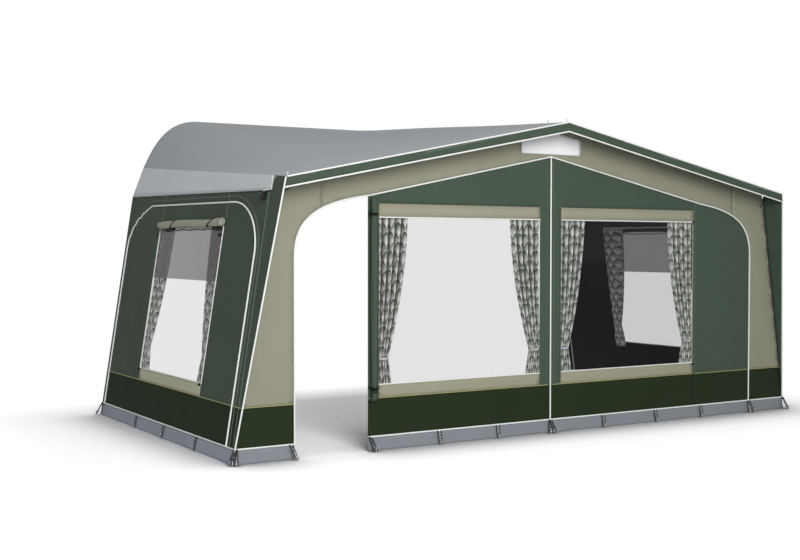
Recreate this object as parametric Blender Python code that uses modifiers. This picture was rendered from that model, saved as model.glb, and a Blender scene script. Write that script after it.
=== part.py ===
"""Caravan awning: fabric roof and walls on a telescopic pole frame.

The origin is the middle of the footprint on the ground, +X runs along the front wall,
+Y runs back to the mounting plane and +Z is up.
"""
import math

import bmesh
import bpy
from mathutils import Matrix, Vector

# Overall sizes, in metres
DEPTH = 2.80               # front wall to the mounting plane at the back
OVERHANG = 0.213           # canopy in front of the front wall
BASE_HALF_FRONT = 2.626    # half width on the ground at the front wall
BASE_HALF_REAR = 2.580     # half width on the ground at the back
LEAN_RUN = 0.285           # how far a side wall leans in
LEAN_RISE = 1.80           # over this height
SEAM_FRONT = 1.790         # seam between side wall and roof, at the front wall
SEAM_REAR = 1.837          # the same seam at the back
EAVES_RISE = 0.095         # from that seam up to the fold between roof and side, at the front wall
FOLD_REAR_RISE = 0.255     # the same at the back
GABLE_RISE = 0.470         # from the fold up to the ridge, at the front wall
RIDGE_REAR_RISE = 0.428    # the same at the back
FOLD_REAR_IN = 0.0588      # rear end of the fold, in from the side wall's plane
SHOULDER_RUN = 0.470       # from there to where the rounded rear shoulder becomes level
SHOULDER_DROP = 0.008      # from the ridge down to the shoulder
SHOULDER_HANDLE_SHARES = ((0.191, 0.471), (0.447, 0.971))
ROOF_SAG = 0.075           # how far the roof hangs in between its poles

# Cloth
CLOTH = 0.003              # thickness of wall and roof cloth
SEAM = 0.0008              # gap between cloth pieces that are sewn or zipped together
AIR = 0.0003               # gap between pieces that touch
MUD_WALL_HEIGHT = 0.102
VALANCE_HEIGHT = 0.072
WING_FLARE = 0.010         # how far a storm wing's tip stands out from the side wall's plane

# Front wall: the piped arch that frames both panels
PILLAR_FOOT = 0.446        # from the base corner in to the arch
BAND_DEPTH = 0.257         # from the ridge down to the arch's apex
ARCH_SLOPE_DROP = 0.328    # from there down to the rounded corner
ARCH_CORNER_RUN = 0.580
ARCH_CORNER_DROP = 0.425
ARCH_HANDLE_SHARES = ((0.0, 0.60), (0.276, 0.87))
DOORWAY_WIDTH = 0.568      # from the arch to the left panel
DOOR_RIGHT_WIDTH = 0.660   # from the arch to the seam between the right door and its panel
VENT_HALF = 0.272
VENT_RISE = 0.030          # from the arch's apex up to the vent
VENT_SIDE_HEIGHT = 0.098
VENT_HEIGHT = 0.153
VENT_HEM = 0.012           # vent cover beyond the vent's hole
VENT_THICK = 0.002

# Front windows
WINDOW_INNER = 0.104
WINDOW_EDGE_LEFT = 0.088   # from the left panel's edge in to its window
WINDOW_EDGE_RIGHT = 0.020  # from the right door's seam in to the right window
WINDOW_BOTTOM = 0.461
WINDOW_HEAD = 0.149        # from the arch's rounded corner down to the windows

# Side door arch and window; distances run back from the front corner
SIDE_FRONT_FOOT = 0.143    # front edge of the door at the ground
SIDE_FRONT_SPRING = 0.125  # front edge of the door at its spring
SIDE_HEAD_FRONT = 0.063    # from the roof's seam down to the arch, at its front corner
SIDE_HEAD_REAR = 0.092     # the same at its rear corner
SIDE_CROWN_FRONT = 0.600
SIDE_FRONT_DROP = 0.347    # from there down to the spring
SIDE_REAR_MARGIN = 0.073   # from the back of the awning in to the door's hinge seam
SIDE_CORNER_RUN = 0.477
SIDE_REAR_DROP = 0.345
SIDE_FRONT_HANDLE_SHARES = ((0.020, 0.500), (0.400, 1.0))
SIDE_REAR_HANDLE_SHARES = ((0.030, 0.600), (0.600, 0.850))
SIDE_WINDOW_FRONT = 0.715
SIDE_WINDOW_REAR = 1.990
SIDE_WINDOW_HEAD = 0.167   # from the arch's front corner down to the window

# Windows, curtains and rolls
FILM = 0.001
FILM_HEM = 0.020           # film behind the window's edge
RAIL_DROP = 0.040          # curtain rail above the window
RAIL_HEIGHT = 0.010
RAIL_DEPTH = 0.022
CURTAIN_CLOTH = 0.002
CURTAIN_WIDTH = 0.270      # drawn width at the rail
CURTAIN_WAIST = 0.098      # width at the tie
CURTAIN_HEM_WIDTH = 0.128
CURTAIN_TIE_RISE = 0.179   # tie above the window's sill
CURTAIN_HEM_DROP = 0.041   # hem below it
CURTAIN_EDGE = 0.012       # outer edge beyond the window
PLEAT_DEPTH = 0.030
CURTAIN_PLEATS = 4.5
PLEAT_POINTS = 6           # grid columns for one pleat
CURTAIN_ROWS = 7
CURTAIN_ROWS_BELOW = 2     # grid rows from the tie down to the hem
CURTAIN_SWEEP_SHARE = 1.8  # how late the drawn edge sweeps in to the tie
DOOR_ROLL_RADIUS = 0.031
DOOR_ROLL_SET_IN = 0.046   # from the left panel's edge in to the roll's middle
DOOR_ROLL_BOTTOM = 0.362
DOOR_ROLL_HEAD = 0.018     # from the arch's rounded corner down to the roll
DOOR_ROLL_TIE_LOW = 0.078  # above the roll's lower end
DOOR_ROLL_TIE_HIGH = 0.112  # below its upper end
ROLL_TIE_SHARE = 0.28      # how far a tie draws the rolled door in
ROLL_FOLD_SHARE = 0.07     # how far its loose folds stand out
ROLL_FOLDS = 3
ROLL_FOLD_TURN = 0.35      # turn of the folds from ring to ring, in radians
BLIND_OVER_FRONT = 0.015   # blind roll beyond the window, at its front end
BLIND_OVER_REAR = 0.010
BLIND_ROLL_HEIGHT = 0.060
BLIND_ROLL_DEPTH = 0.034
BLIND_ROLL_RISE = 0.055    # from the window up to the roll's top
BLIND_STRAP_FRONT = 0.210  # strap behind the window's front edge
BLIND_STRAP_REAR = 0.315   # strap ahead of its rear edge
BLIND_STRAP_SHARE = 0.14   # how far a strap draws the blind in

# Frame tubes
OUTER_RADIUS = 0.014
OUTER_WALL = 0.0012
TELESCOPE_GAP = 0.0003
INNER_WALL = 0.0012
TUBE_SIDES = 12
POLE_CLEAR = 0.0022        # between a pole and the cloth that lies on it
LEG_STAND_OFF = 0.036      # leg axis to the inside of a wall
LEG_SPLIT_CENTRE = 1.150   # lower end of the centre leg's upper tube
LEG_SPLIT_CORNER = 0.950
LEG_OVERLAP = 0.400        # lower tube inside the upper one
FOOT_RADIUS = 0.032
FOOT_THICK = 0.008
FOOT_BEVEL = 0.0015
BRACKET_WIDTH = 0.056      # saddle on a corner leg, under the side roof pole and the rafter
RIDGE_BRACKET_WIDTH = 0.026
BRACKET_DEPTH = 0.056
BRACKET_HEIGHT = 0.024
BRACKET_BEVEL = 0.003
ROOF_POLE_SPLIT = 1.500    # rear end of a roof pole's front tube, behind the front wall
ROOF_POLE_OVERLAP = 0.420
ROOF_POLE_NOSE = 0.012     # pole end behind the canopy's front edge
NOTCH_CLEAR = 0.001        # round a pole where it passes through the front wall
NOTCH_REACH = 0.020
SPIKE_RADIUS = 0.004
SPIKE_HEIGHT = 0.026       # above the roof
SPIKE_SET_BACK = 0.030     # behind the canopy's front edge
EYELET_RADIUS = 0.0055
PAD_WIDTH = 0.060
PAD_HEIGHT = 0.056
PAD_THICK = 0.012
PAD_EDGE = 0.006           # pad beyond the pole's axis on the side of the roof cloth
PAD_SOCKET_WALL = 0.0018
PAD_SOCKET_ROOT = 0.002    # socket ring let into the pad
PAD_SOCKET_LENGTH = 0.034
PAD_BEVEL = 0.002
COLLAR_RADIUS = 0.0157
COLLAR_LENGTH = 0.040
BOSS_RADIUS = 0.0085
BOSS_REACH = 0.0265        # boss face from the tube's axis
KNOB_RADIUS = 0.0085
KNOB_LENGTH = 0.013
WING_SPAN = 0.044
WING_HEIGHT = 0.013
WING_THICK = 0.005
WING_BEVEL = 0.0015
BEAD_RADIUS = 0.004        # bead for an awning rail
BEAD_CURVE_STEPS = 1
BEAD_FOOT = 0.012          # lower end of the bead above the ground

# Fineness and overrun
CURVE_STEPS = 8
SHOULDER_STEPS = 6
ROOF_FLAT_STEPS = 5
ROOF_ROWS = 8
PILLAR_SEAM_STEP = 5       # arch point where the pillar meets the gable band
ROLL_SIDES = 12
ROLL_RINGS = 14
OVERRUN = 0.004            # how far a cutter or a joined piece runs past a face
WELD = 0.00001

# Derived places
LEAN = LEAN_RUN / LEAN_RISE
LEAN_ANGLE = math.atan(LEAN)
HALF_SEAM = SEAM / 2
EAVES_HEIGHT = SEAM_FRONT + EAVES_RISE
RIDGE_FRONT = EAVES_HEIGHT + GABLE_RISE
FOLD_REAR_HEIGHT = SEAM_REAR + FOLD_REAR_RISE
RIDGE_REAR = FOLD_REAR_HEIGHT + RIDGE_REAR_RISE
FOLD_REAR_HALF = BASE_HALF_REAR - LEAN * FOLD_REAR_HEIGHT - FOLD_REAR_IN
SHOULDER_HALF = FOLD_REAR_HALF - SHOULDER_RUN
SHOULDER_HEIGHT = RIDGE_REAR - SHOULDER_DROP
ARCH_HALF = BASE_HALF_FRONT - PILLAR_FOOT
ARCH_APEX = RIDGE_FRONT - BAND_DEPTH
ARCH_SHOULDER_HALF = ARCH_HALF - ARCH_CORNER_RUN
ARCH_SHOULDER_HEIGHT = ARCH_APEX - ARCH_SLOPE_DROP
ARCH_SPRING = ARCH_SHOULDER_HEIGHT - ARCH_CORNER_DROP
PANEL_LEFT_EDGE = ARCH_HALF - DOORWAY_WIDTH
DOOR_SEAM = ARCH_HALF - DOOR_RIGHT_WIDTH
VENT_BOTTOM = ARCH_APEX + VENT_RISE
WINDOW_OUTER = PANEL_LEFT_EDGE - WINDOW_EDGE_LEFT
WINDOW_OUTER_RIGHT = DOOR_SEAM - WINDOW_EDGE_RIGHT
WINDOW_TOP = ARCH_SHOULDER_HEIGHT - WINDOW_HEAD
SIDE_CROWN_FRONT_HEIGHT = SEAM_FRONT - SIDE_HEAD_FRONT
SIDE_CROWN_REAR_HEIGHT = SEAM_REAR - SIDE_HEAD_REAR
SIDE_REAR_EDGE = DEPTH - SIDE_REAR_MARGIN
SIDE_CROWN_REAR = SIDE_REAR_EDGE - SIDE_CORNER_RUN
SIDE_SPRING_HEIGHT = SIDE_CROWN_FRONT_HEIGHT - SIDE_FRONT_DROP
SIDE_REAR_SPRING = SIDE_CROWN_REAR_HEIGHT - SIDE_REAR_DROP
SIDE_WINDOW_TOP = SIDE_CROWN_FRONT_HEIGHT - SIDE_WINDOW_HEAD
WALL_Y = OVERHANG - (DEPTH + OVERHANG) / 2
REAR_Y = WALL_Y + DEPTH
BEAD_ROOM = 2 * BEAD_RADIUS + SEAM
CLOTH_REAR = DEPTH - BEAD_ROOM
ROOF_SLOPE_ANGLE = math.atan2(RIDGE_FRONT - EAVES_HEIGHT, BASE_HALF_FRONT - LEAN * EAVES_HEIGHT)
POLE_REACH = CLOTH + POLE_CLEAR + OUTER_RADIUS
INNER_RADIUS = OUTER_RADIUS - OUTER_WALL - TELESCOPE_GAP

# Colours: red, green, blue, roughness, metallic, alpha
FINISHES = {
    "roof_cloth": (0.42, 0.46, 0.49, 0.75, 0.0, 1.0),
    "green_cloth": (0.060, 0.085, 0.058, 0.85, 0.0, 1.0),
    "beige_cloth": (0.30, 0.29, 0.215, 0.85, 0.0, 1.0),
    "mud_wall_cloth": (0.21, 0.235, 0.27, 0.60, 0.0, 1.0),
    "vent_cloth": (0.72, 0.73, 0.75, 0.80, 0.0, 1.0),
    "window_film": (0.75, 0.78, 0.80, 0.10, 0.0, 0.25),
    "curtain_cloth": (0.50, 0.52, 0.48, 0.90, 0.0, 1.0),
    "pole_steel": (0.55, 0.56, 0.57, 0.35, 1.0, 1.0),
    "clamp_plastic": (0.02, 0.02, 0.02, 0.45, 0.0, 1.0),
    "foot_rubber": (0.03, 0.03, 0.03, 0.80, 0.0, 1.0),
    "bead_cord": (0.65, 0.66, 0.66, 0.55, 0.0, 1.0),
}


def clear_scene():
    for item in list(bpy.data.objects):
        bpy.data.objects.remove(item, do_unlink=True)


def new_collection(name):
    collection = bpy.data.collections.new(name)
    bpy.context.scene.collection.children.link(collection)
    return collection


def make_materials():
    materials = {}
    for name, (red, green, blue, roughness, metallic, alpha) in FINISHES.items():
        material = bpy.data.materials.new(name)
        material.use_nodes = True
        shader = material.node_tree.nodes["Principled BSDF"]
        shader.inputs["Base Color"].default_value = (red, green, blue, 1.0)
        shader.inputs["Roughness"].default_value = roughness
        shader.inputs["Metallic"].default_value = metallic
        shader.inputs["Alpha"].default_value = alpha
        materials[name] = material
    return materials


clear_scene()
PARTS = new_collection("caravan_awning")
CUTTERS = new_collection("cutters")
MATERIALS = make_materials()


# Small geometry helpers

def curve_points(start, end, shares, steps):
    """A rounded corner from start to end; shares place its two handles in the box between them."""
    start = Vector(start)
    span = Vector(end) - start
    first, second = (start + Vector((share[0] * span.x, share[1] * span.y)) for share in shares)
    points = []
    for step in range(steps + 1):
        t = step / steps
        s = 1 - t
        point = s**3 * start + 3 * s * s * t * first + 3 * s * t * t * second + t**3 * Vector(end)
        points.append((point.x, point.y))
    return points


def mirrored(points):
    return [(-x, y) for x, y in reversed(points)]


def inset(outline, distance):
    """Move every edge of a closed outline inwards by the same distance."""
    corners = [Vector(point) for point in outline]
    following = corners[1:] + corners[:1]
    turn = math.copysign(1.0, sum(a.x * b.y - b.x * a.y for a, b in zip(corners, following)))
    moved = []
    for index, corner in enumerate(corners):
        arriving = (corner - corners[index - 1]).normalized()
        leaving = (following[index] - corner).normalized()
        normal_in = Vector((-arriving.y, arriving.x)) * turn
        normal_out = Vector((-leaving.y, leaving.x)) * turn
        miter = (normal_in + normal_out) / (1 + normal_in.dot(normal_out))
        point = corner + miter * distance
        moved.append((point.x, point.y))
    return moved


def lerp(start, end, share):
    return start + (end - start) * share


def side_plane_half(back, height):
    """Half width of the awning on the outside of a side wall, at a distance back from the front wall."""
    base = lerp(BASE_HALF_FRONT, BASE_HALF_REAR, back / DEPTH)
    return base - LEAN * height


def front_edge(height, inward=0.0):
    """Where front wall cloth ends beside the side wall."""
    return side_plane_half(0, height) - (CLOTH + inward) / math.cos(LEAN_ANGLE)


def roof_line(sideways):
    """Height of the roof's outside at the front wall."""
    half = side_plane_half(0, EAVES_HEIGHT)
    return lerp(RIDGE_FRONT, EAVES_HEIGHT, abs(sideways) / half)


def under_roof(sideways, below=0.0):
    return roof_line(sideways) - (CLOTH + below) / math.cos(ROOF_SLOPE_ANGLE)


def add_empty(name, matrix, parent=None):
    empty = bpy.data.objects.new(name, None)
    PARTS.objects.link(empty)
    empty.parent = parent
    empty.matrix_local = matrix
    return empty


def place(item, frame, location, material):
    PARTS.objects.link(item)
    item.parent = frame
    item.location = location
    item.data.materials.append(MATERIALS[material])
    return item


def flat_panel(name, frame, outline, material, thickness=CLOTH, depth=0.0, holes=(), shift=0.0):
    """Cloth cut to an outline, its outside at local z = -depth, with half a seam left off each edge."""
    curve = bpy.data.curves.new(name, "CURVE")
    curve.dimensions = "2D"
    curve.fill_mode = "BOTH"
    curve.extrude = thickness / 2
    for loop in [inset(outline, HALF_SEAM)] + list(holes):
        spline = curve.splines.new("POLY")
        spline.points.add(len(loop) - 1)
        for point, (x, y) in zip(spline.points, loop):
            point.co = (x, y, 0, 1)
        spline.use_cyclic_u = True
    panel = bpy.data.objects.new(name, curve)
    return place(panel, frame, (-shift, 0, -depth - thickness / 2), material)


def turned(name, frame, profile, material, along=0.0, ring=False):
    """Turn a profile of (radius, height) points round the frame's z axis."""
    mesh = bpy.data.meshes.new(name)
    shape = bmesh.new()
    points = [shape.verts.new((radius, 0, height)) for radius, height in profile]
    for first, second in zip(points, points[1:]):
        shape.edges.new((first, second))
    if ring:
        shape.edges.new((points[-1], points[0]))
    shape.to_mesh(mesh)
    shape.free()
    item = place(bpy.data.objects.new(name, mesh), frame, (0, 0, along), material)
    screw = item.modifiers.new("turn", "SCREW")
    screw.axis = "Z"
    screw.steps = TUBE_SIDES
    screw.render_steps = TUBE_SIDES
    screw.use_merge_vertices = True
    screw.merge_threshold = WELD
    return item


def box(name, frame, size, centre, material, bevel=0.0, rotation=None):
    mesh = bpy.data.meshes.new(name)
    shape = bmesh.new()
    bmesh.ops.create_cube(shape, size=1)
    bmesh.ops.scale(shape, vec=size, verts=shape.verts)
    shape.to_mesh(mesh)
    shape.free()
    item = place(bpy.data.objects.new(name, mesh), frame, centre, material)
    if rotation is not None:
        item.rotation_mode = "QUATERNION"
        item.rotation_quaternion = rotation
    if bevel:
        edge = item.modifiers.new("edge", "BEVEL")
        edge.width = bevel
        edge.segments = 1
    return item


def cylinder(name, frame, radius, length, base, material, sides=TUBE_SIDES, bevel=0.0):
    """A solid cylinder standing on base along the frame's z axis."""
    mesh = bpy.data.meshes.new(name)
    shape = bmesh.new()
    bmesh.ops.create_cone(
        shape, cap_ends=True, segments=sides, radius1=radius, radius2=radius, depth=length
    )
    bmesh.ops.translate(shape, vec=(0, 0, length / 2), verts=shape.verts)
    shape.to_mesh(mesh)
    shape.free()
    item = place(bpy.data.objects.new(name, mesh), frame, base, material)
    if bevel:
        edge = item.modifiers.new("edge", "BEVEL")
        edge.width = bevel
        edge.segments = 1
        edge.limit_method = "ANGLE"
    return item


def hide_cutter(item):
    PARTS.objects.unlink(item)
    CUTTERS.objects.link(item)
    item.hide_render = True
    item.display_type = "WIRE"


def combine(item, other, operation):
    hide_cutter(other)
    step = item.modifiers.new(operation.lower(), "BOOLEAN")
    step.operation = operation
    step.solver = "EXACT"
    step.object = other
    return item


def as_mesh(item):
    """Turn a flat outline into a closed mesh, so that other pieces can be joined to it."""
    bpy.context.view_layer.update()
    graph = bpy.context.evaluated_depsgraph_get()
    mesh = bpy.data.meshes.new_from_object(item.evaluated_get(graph))
    shape = bmesh.new()
    shape.from_mesh(mesh)
    bmesh.ops.remove_doubles(shape, verts=shape.verts, dist=WELD)
    bmesh.ops.recalc_face_normals(shape, faces=shape.faces)
    shape.to_mesh(mesh)
    shape.free()
    name = item.name
    solid = bpy.data.objects.new(name + "_solid", mesh)
    PARTS.objects.link(solid)
    solid.parent = item.parent
    solid.matrix_world = item.matrix_world
    bpy.data.objects.remove(item, do_unlink=True)
    solid.name = name
    return solid


def grid_sheet(name, frame, rows, material, thickness, skip=None):
    """A cloth sheet through a grid of points, thickened to the inside of its normals."""
    mesh = bpy.data.meshes.new(name)
    shape = bmesh.new()
    grid = [[shape.verts.new(point) for point in row] for row in rows]
    for i in range(len(rows) - 1):
        for j in range(len(rows[0]) - 1):
            if skip is None or not skip(i, j):
                shape.faces.new((grid[i][j], grid[i][j + 1], grid[i + 1][j + 1], grid[i + 1][j]))
    loose = [vert for vert in shape.verts if not vert.link_faces]
    bmesh.ops.delete(shape, geom=loose, context="VERTS")
    shape.to_mesh(mesh)
    shape.free()
    item = place(bpy.data.objects.new(name, mesh), frame, (0, 0, 0), material)
    wall = item.modifiers.new("cloth", "SOLIDIFY")
    wall.thickness = thickness
    wall.offset = -1
    wall.use_even_offset = True
    return item


def lofted_roll(name, frame, rings, material):
    """A closed roll through rings of points, with a fan at each end."""
    mesh = bpy.data.meshes.new(name)
    shape = bmesh.new()
    loops = [[shape.verts.new(point) for point in ring] for ring in rings]
    for low, high in zip(loops, loops[1:]):
        for i in range(len(low)):
            k = (i + 1) % len(low)
            shape.faces.new((low[i], low[k], high[k], high[i]))
    shape.faces.new(list(reversed(loops[0])))
    shape.faces.new(loops[-1])
    bmesh.ops.recalc_face_normals(shape, faces=shape.faces)
    shape.to_mesh(mesh)
    shape.free()
    return place(bpy.data.objects.new(name, mesh), frame, (0, 0, 0), material)


def axis_frame(name, start, end, toward):
    """An empty at start, its z axis along the piece and its x axis turned towards a direction."""
    along = (Vector(end) - Vector(start)).normalized()
    across = Vector(toward) - along * along.dot(Vector(toward))
    across.normalize()
    third = along.cross(across)
    matrix = Matrix((across, third, along)).transposed().to_4x4()
    matrix.translation = Vector(start)
    return add_empty(name, matrix)


# Wall frames: local x along the wall, local y up the cloth, local z outwards

def front_frame():
    turn = Matrix.Rotation(math.pi / 2, 4, "X")
    return add_empty("front_wall_frame", Matrix.Translation((0, WALL_Y, 0)) @ turn)


def side_axes(side):
    """Directions along a side wall and up its cloth; side is -1 for the left wall and 1 for the right one."""
    along = Vector((side * (BASE_HALF_REAR - BASE_HALF_FRONT), DEPTH, 0)).normalized() * side
    up = Vector((-side * LEAN, 0, 1)).normalized()
    return along, (up - along * up.dot(along)).normalized()


def side_frame(side, label):
    along, up = side_axes(side)
    out = along.cross(up)
    matrix = Matrix((along, up, out)).transposed().to_4x4()
    matrix.translation = Vector((side * BASE_HALF_FRONT, WALL_Y, 0))
    return add_empty("side_wall_frame_" + label, matrix)


def side_point(side, back, height):
    """A place on a side wall, in its frame's flat coordinates; x is side times the distance along it."""
    along, up = side_axes(side)
    rise = height / up.z
    return ((back - up.y * rise) / along.y, rise)


FRONT = front_frame()
SIDES = ((-1, "left"), (1, "right"))
SIDE_FRAMES = {label: side_frame(side, label) for side, label in SIDES}


# Front wall

def front_arch_half():
    """Right half of the arch, from its foot to the apex."""
    corner = curve_points(
        (ARCH_HALF, ARCH_SPRING), (ARCH_SHOULDER_HALF, ARCH_SHOULDER_HEIGHT), ARCH_HANDLE_SHARES, CURVE_STEPS
    )
    return corner + [(0, ARCH_APEX)]


def arch_height(sideways):
    """Height of the arch at a distance from the middle, between its shoulder and the apex."""
    return lerp(ARCH_APEX, ARCH_SHOULDER_HEIGHT, sideways / ARCH_SHOULDER_HALF)


def arch_from(sideways):
    """The arch's corner points further out than a place, and the place itself on the arch, inner end first."""
    corner = front_arch_half()[:-1]
    outer = [point for point in corner if point[0] > sideways + HALF_SEAM]
    following = corner[len(outer)] if len(outer) < len(corner) else (0, ARCH_APEX)
    last = outer[-1]
    share = (last[0] - sideways) / (last[0] - following[0])
    return [(sideways, lerp(last[1], following[1], share))] + list(reversed(outer))


def window_outline(low_x, high_x, bottom, top):
    return [(low_x, bottom), (high_x, bottom), (high_x, top), (low_x, top)]


def notch_for_pole(panel, axis):
    """Cut the cloth round a roof pole that passes over the front wall to the canopy."""
    solid = as_mesh(panel)
    start = axis(-NOTCH_REACH)
    end = axis(NOTCH_REACH)
    frame = axis_frame(solid.name + "_notch_axis", start, end, (0, 0, -1))
    radius = OUTER_RADIUS + NOTCH_CLEAR
    cutter = cylinder(
        solid.name + "_notch", frame, radius, (end - start).length, (0, 0, 0), "pole_steel"
    )
    return combine(solid, cutter, "DIFFERENCE")


def make_gable_band():
    corner = front_arch_half()
    seam = corner[PILLAR_SEAM_STEP]
    lower = corner[PILLAR_SEAM_STEP:]
    right = [(seam[0], under_roof(seam[0]))] + lower
    outline = right + mirrored(lower)[1:] + [(-seam[0], under_roof(seam[0])), (0, under_roof(0))]
    vent = [
        (-VENT_HALF, VENT_BOTTOM), (VENT_HALF, VENT_BOTTOM), (VENT_HALF, VENT_BOTTOM + VENT_SIDE_HEIGHT),
        (0, VENT_BOTTOM + VENT_HEIGHT), (-VENT_HALF, VENT_BOTTOM + VENT_SIDE_HEIGHT),
    ]
    band = flat_panel("gable_band", FRONT, outline, "beige_cloth", holes=[vent])
    notch_for_pole(band, ridge_axis)
    cover = inset(vent, -VENT_HEM)
    flat_panel("vent_cover", FRONT, cover, "vent_cloth", VENT_THICK, depth=-VENT_THICK - AIR)


def make_pillars():
    corner = front_arch_half()
    for side, label in SIDES:
        outer = front_edge(MUD_WALL_HEIGHT)
        top = front_edge(EAVES_HEIGHT - CLOTH)
        outline = [(outer, MUD_WALL_HEIGHT), (top, under_roof(top))]
        seam = corner[PILLAR_SEAM_STEP]
        outline += [(seam[0], under_roof(seam[0]))]
        outline += list(reversed(corner[:PILLAR_SEAM_STEP + 1]))
        outline += [(ARCH_HALF, MUD_WALL_HEIGHT)]
        pillar = flat_panel("pillar_" + label, FRONT, [(side * x, y) for x, y in outline], "beige_cloth")
        notch_for_pole(pillar, lambda back, side=side: fold_axis(side, back))


def film_and_rail(panel, frame, label, window, shift=0.0):
    """Window film behind the hole and a curtain rail above it, both inside the panel."""
    low_x, high_x = min(x for x, y in window), max(x for x, y in window)
    bottom, top = min(y for x, y in window), max(y for x, y in window)
    hem = window_outline(low_x - FILM_HEM, high_x + FILM_HEM, bottom - FILM_HEM, top + FILM_HEM)
    flat_panel("window_film_" + label, frame, hem, "window_film", FILM, CLOTH + AIR, shift=shift)
    solid = as_mesh(panel)
    size = (high_x - low_x + 2 * CURTAIN_EDGE, RAIL_HEIGHT, RAIL_DEPTH + OVERRUN / 2)
    middle = (
        (low_x + high_x) / 2 - shift,
        top + RAIL_DROP + RAIL_HEIGHT / 2,
        -CLOTH + OVERRUN / 4 - RAIL_DEPTH / 2,
    )
    rail = box("rail_" + label, frame, size, middle, "bead_cord")
    return combine(solid, rail, "UNION")


def curtain(name, frame, outer, inner_sign, window, shift=0.0):
    """A tied-back curtain: pleats gather from the rail to the waist and open again at the hem.

    outer is the window edge that it hangs beside, and inner_sign points from there into the window.
    """
    bottom, top = min(y for x, y in window), max(y for x, y in window)
    head = top + RAIL_DROP - AIR
    hem = bottom - CURTAIN_HEM_DROP
    waist = bottom + CURTAIN_TIE_RISE
    columns = int(CURTAIN_PLEATS * PLEAT_POINTS)
    start = outer - inner_sign * CURTAIN_EDGE - shift
    face = CLOTH + AIR + FILM + AIR
    waist_row = CURTAIN_ROWS - CURTAIN_ROWS_BELOW
    rows = []
    for row in range(CURTAIN_ROWS + 1):
        if row <= waist_row:
            fall = row / waist_row
            height = lerp(head, waist, fall)
            width = lerp(CURTAIN_WIDTH, CURTAIN_WAIST, fall**CURTAIN_SWEEP_SHARE)
        else:
            fall = (row - waist_row) / (CURTAIN_ROWS - waist_row)
            height = lerp(waist, hem, fall)
            width = lerp(CURTAIN_WAIST, CURTAIN_HEM_WIDTH, fall)
        points = []
        for column in range(columns + 1):
            share = column / columns
            wave = (1 - math.cos(2 * math.pi * CURTAIN_PLEATS * share)) / 2
            depth = face + wave * PLEAT_DEPTH
            points.append((start + inner_sign * share * width, height, -depth))
        rows.append(points)
    if inner_sign > 0:
        rows.reverse()
    return grid_sheet(name, frame, rows, "curtain_cloth", CURTAIN_CLOTH)


def make_front_panel_left():
    window = window_outline(-WINDOW_OUTER, -WINDOW_INNER, WINDOW_BOTTOM, WINDOW_TOP)
    edge = arch_from(PANEL_LEFT_EDGE)
    outline = [(0, MUD_WALL_HEIGHT), (0, ARCH_APEX)]
    outline += [(-ARCH_SHOULDER_HALF, ARCH_SHOULDER_HEIGHT)]
    outline += [(-edge[0][0], edge[0][1]), (-PANEL_LEFT_EDGE, MUD_WALL_HEIGHT)]
    panel = flat_panel("front_panel_left", FRONT, outline, "green_cloth", holes=[window])
    film_and_rail(panel, FRONT, "front_left", window)
    curtain("curtain_front_left_outer", FRONT, -WINDOW_OUTER, 1, window)
    curtain("curtain_front_left_inner", FRONT, -WINDOW_INNER, -1, window)


def make_front_panel_right():
    window = window_outline(WINDOW_INNER, WINDOW_OUTER_RIGHT, WINDOW_BOTTOM, WINDOW_TOP)
    corner_height = arch_height(DOOR_SEAM)
    outline = [(0, MUD_WALL_HEIGHT), (DOOR_SEAM, MUD_WALL_HEIGHT), (DOOR_SEAM, corner_height), (0, ARCH_APEX)]
    panel = flat_panel("front_panel_right", FRONT, outline, "green_cloth", holes=[window])
    film_and_rail(panel, FRONT, "front_right", window)
    curtain("curtain_front_right_inner", FRONT, WINDOW_INNER, 1, window)
    curtain("curtain_front_right_outer", FRONT, WINDOW_OUTER_RIGHT, -1, window)


def make_front_door_right():
    hinge = add_empty("front_door_hinge", Matrix.Translation((DOOR_SEAM, 0, 0)), FRONT)
    outline = [(DOOR_SEAM, MUD_WALL_HEIGHT), (DOOR_SEAM, arch_height(DOOR_SEAM))]
    outline += [(ARCH_SHOULDER_HALF, ARCH_SHOULDER_HEIGHT)] + list(reversed(front_arch_half()[:-2]))
    outline += [(ARCH_HALF, MUD_WALL_HEIGHT)]
    flat_panel("front_door_right", hinge, outline, "green_cloth", shift=DOOR_SEAM)


def make_door_roll():
    """The left door, rolled up and tied beside the panel: loose folds, drawn in at two ties."""
    rings = []
    middle = DOOR_ROLL_SET_IN - PANEL_LEFT_EDGE
    top = ARCH_SHOULDER_HEIGHT - DOOR_ROLL_HEAD
    ties = (DOOR_ROLL_BOTTOM + DOOR_ROLL_TIE_LOW, top - DOOR_ROLL_TIE_HIGH)
    for ring in range(ROLL_RINGS + 1):
        height = lerp(DOOR_ROLL_BOTTOM, top, ring / ROLL_RINGS)
        nearest = min(abs(height - tie) for tie in ties)
        pinch = 1 - ROLL_TIE_SHARE * math.exp(-(nearest / (2 * DOOR_ROLL_RADIUS)) ** 2)
        points = []
        for side in range(ROLL_SIDES):
            angle = 2 * math.pi * side / ROLL_SIDES
            fold = 1 + ROLL_FOLD_SHARE * math.cos(ROLL_FOLDS * angle + ring * ROLL_FOLD_TURN)
            radius = DOOR_ROLL_RADIUS * pinch * fold
            points.append(Vector((middle + radius * math.cos(angle), height, radius * math.sin(angle))))
        rings.append(points)
    deepest = min(point.z for points in rings for point in points)
    for points in rings:
        for point in points:
            point.z += AIR - deepest
    lofted_roll("door_roll_left", FRONT, rings, "green_cloth")


# Side walls

def side_hinge(side):
    """Where a side door's hinge seam lies along the wall; the seam runs straight up the cloth."""
    return side_point(side, SIDE_REAR_EDGE, SIDE_REAR_SPRING)[0]


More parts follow.
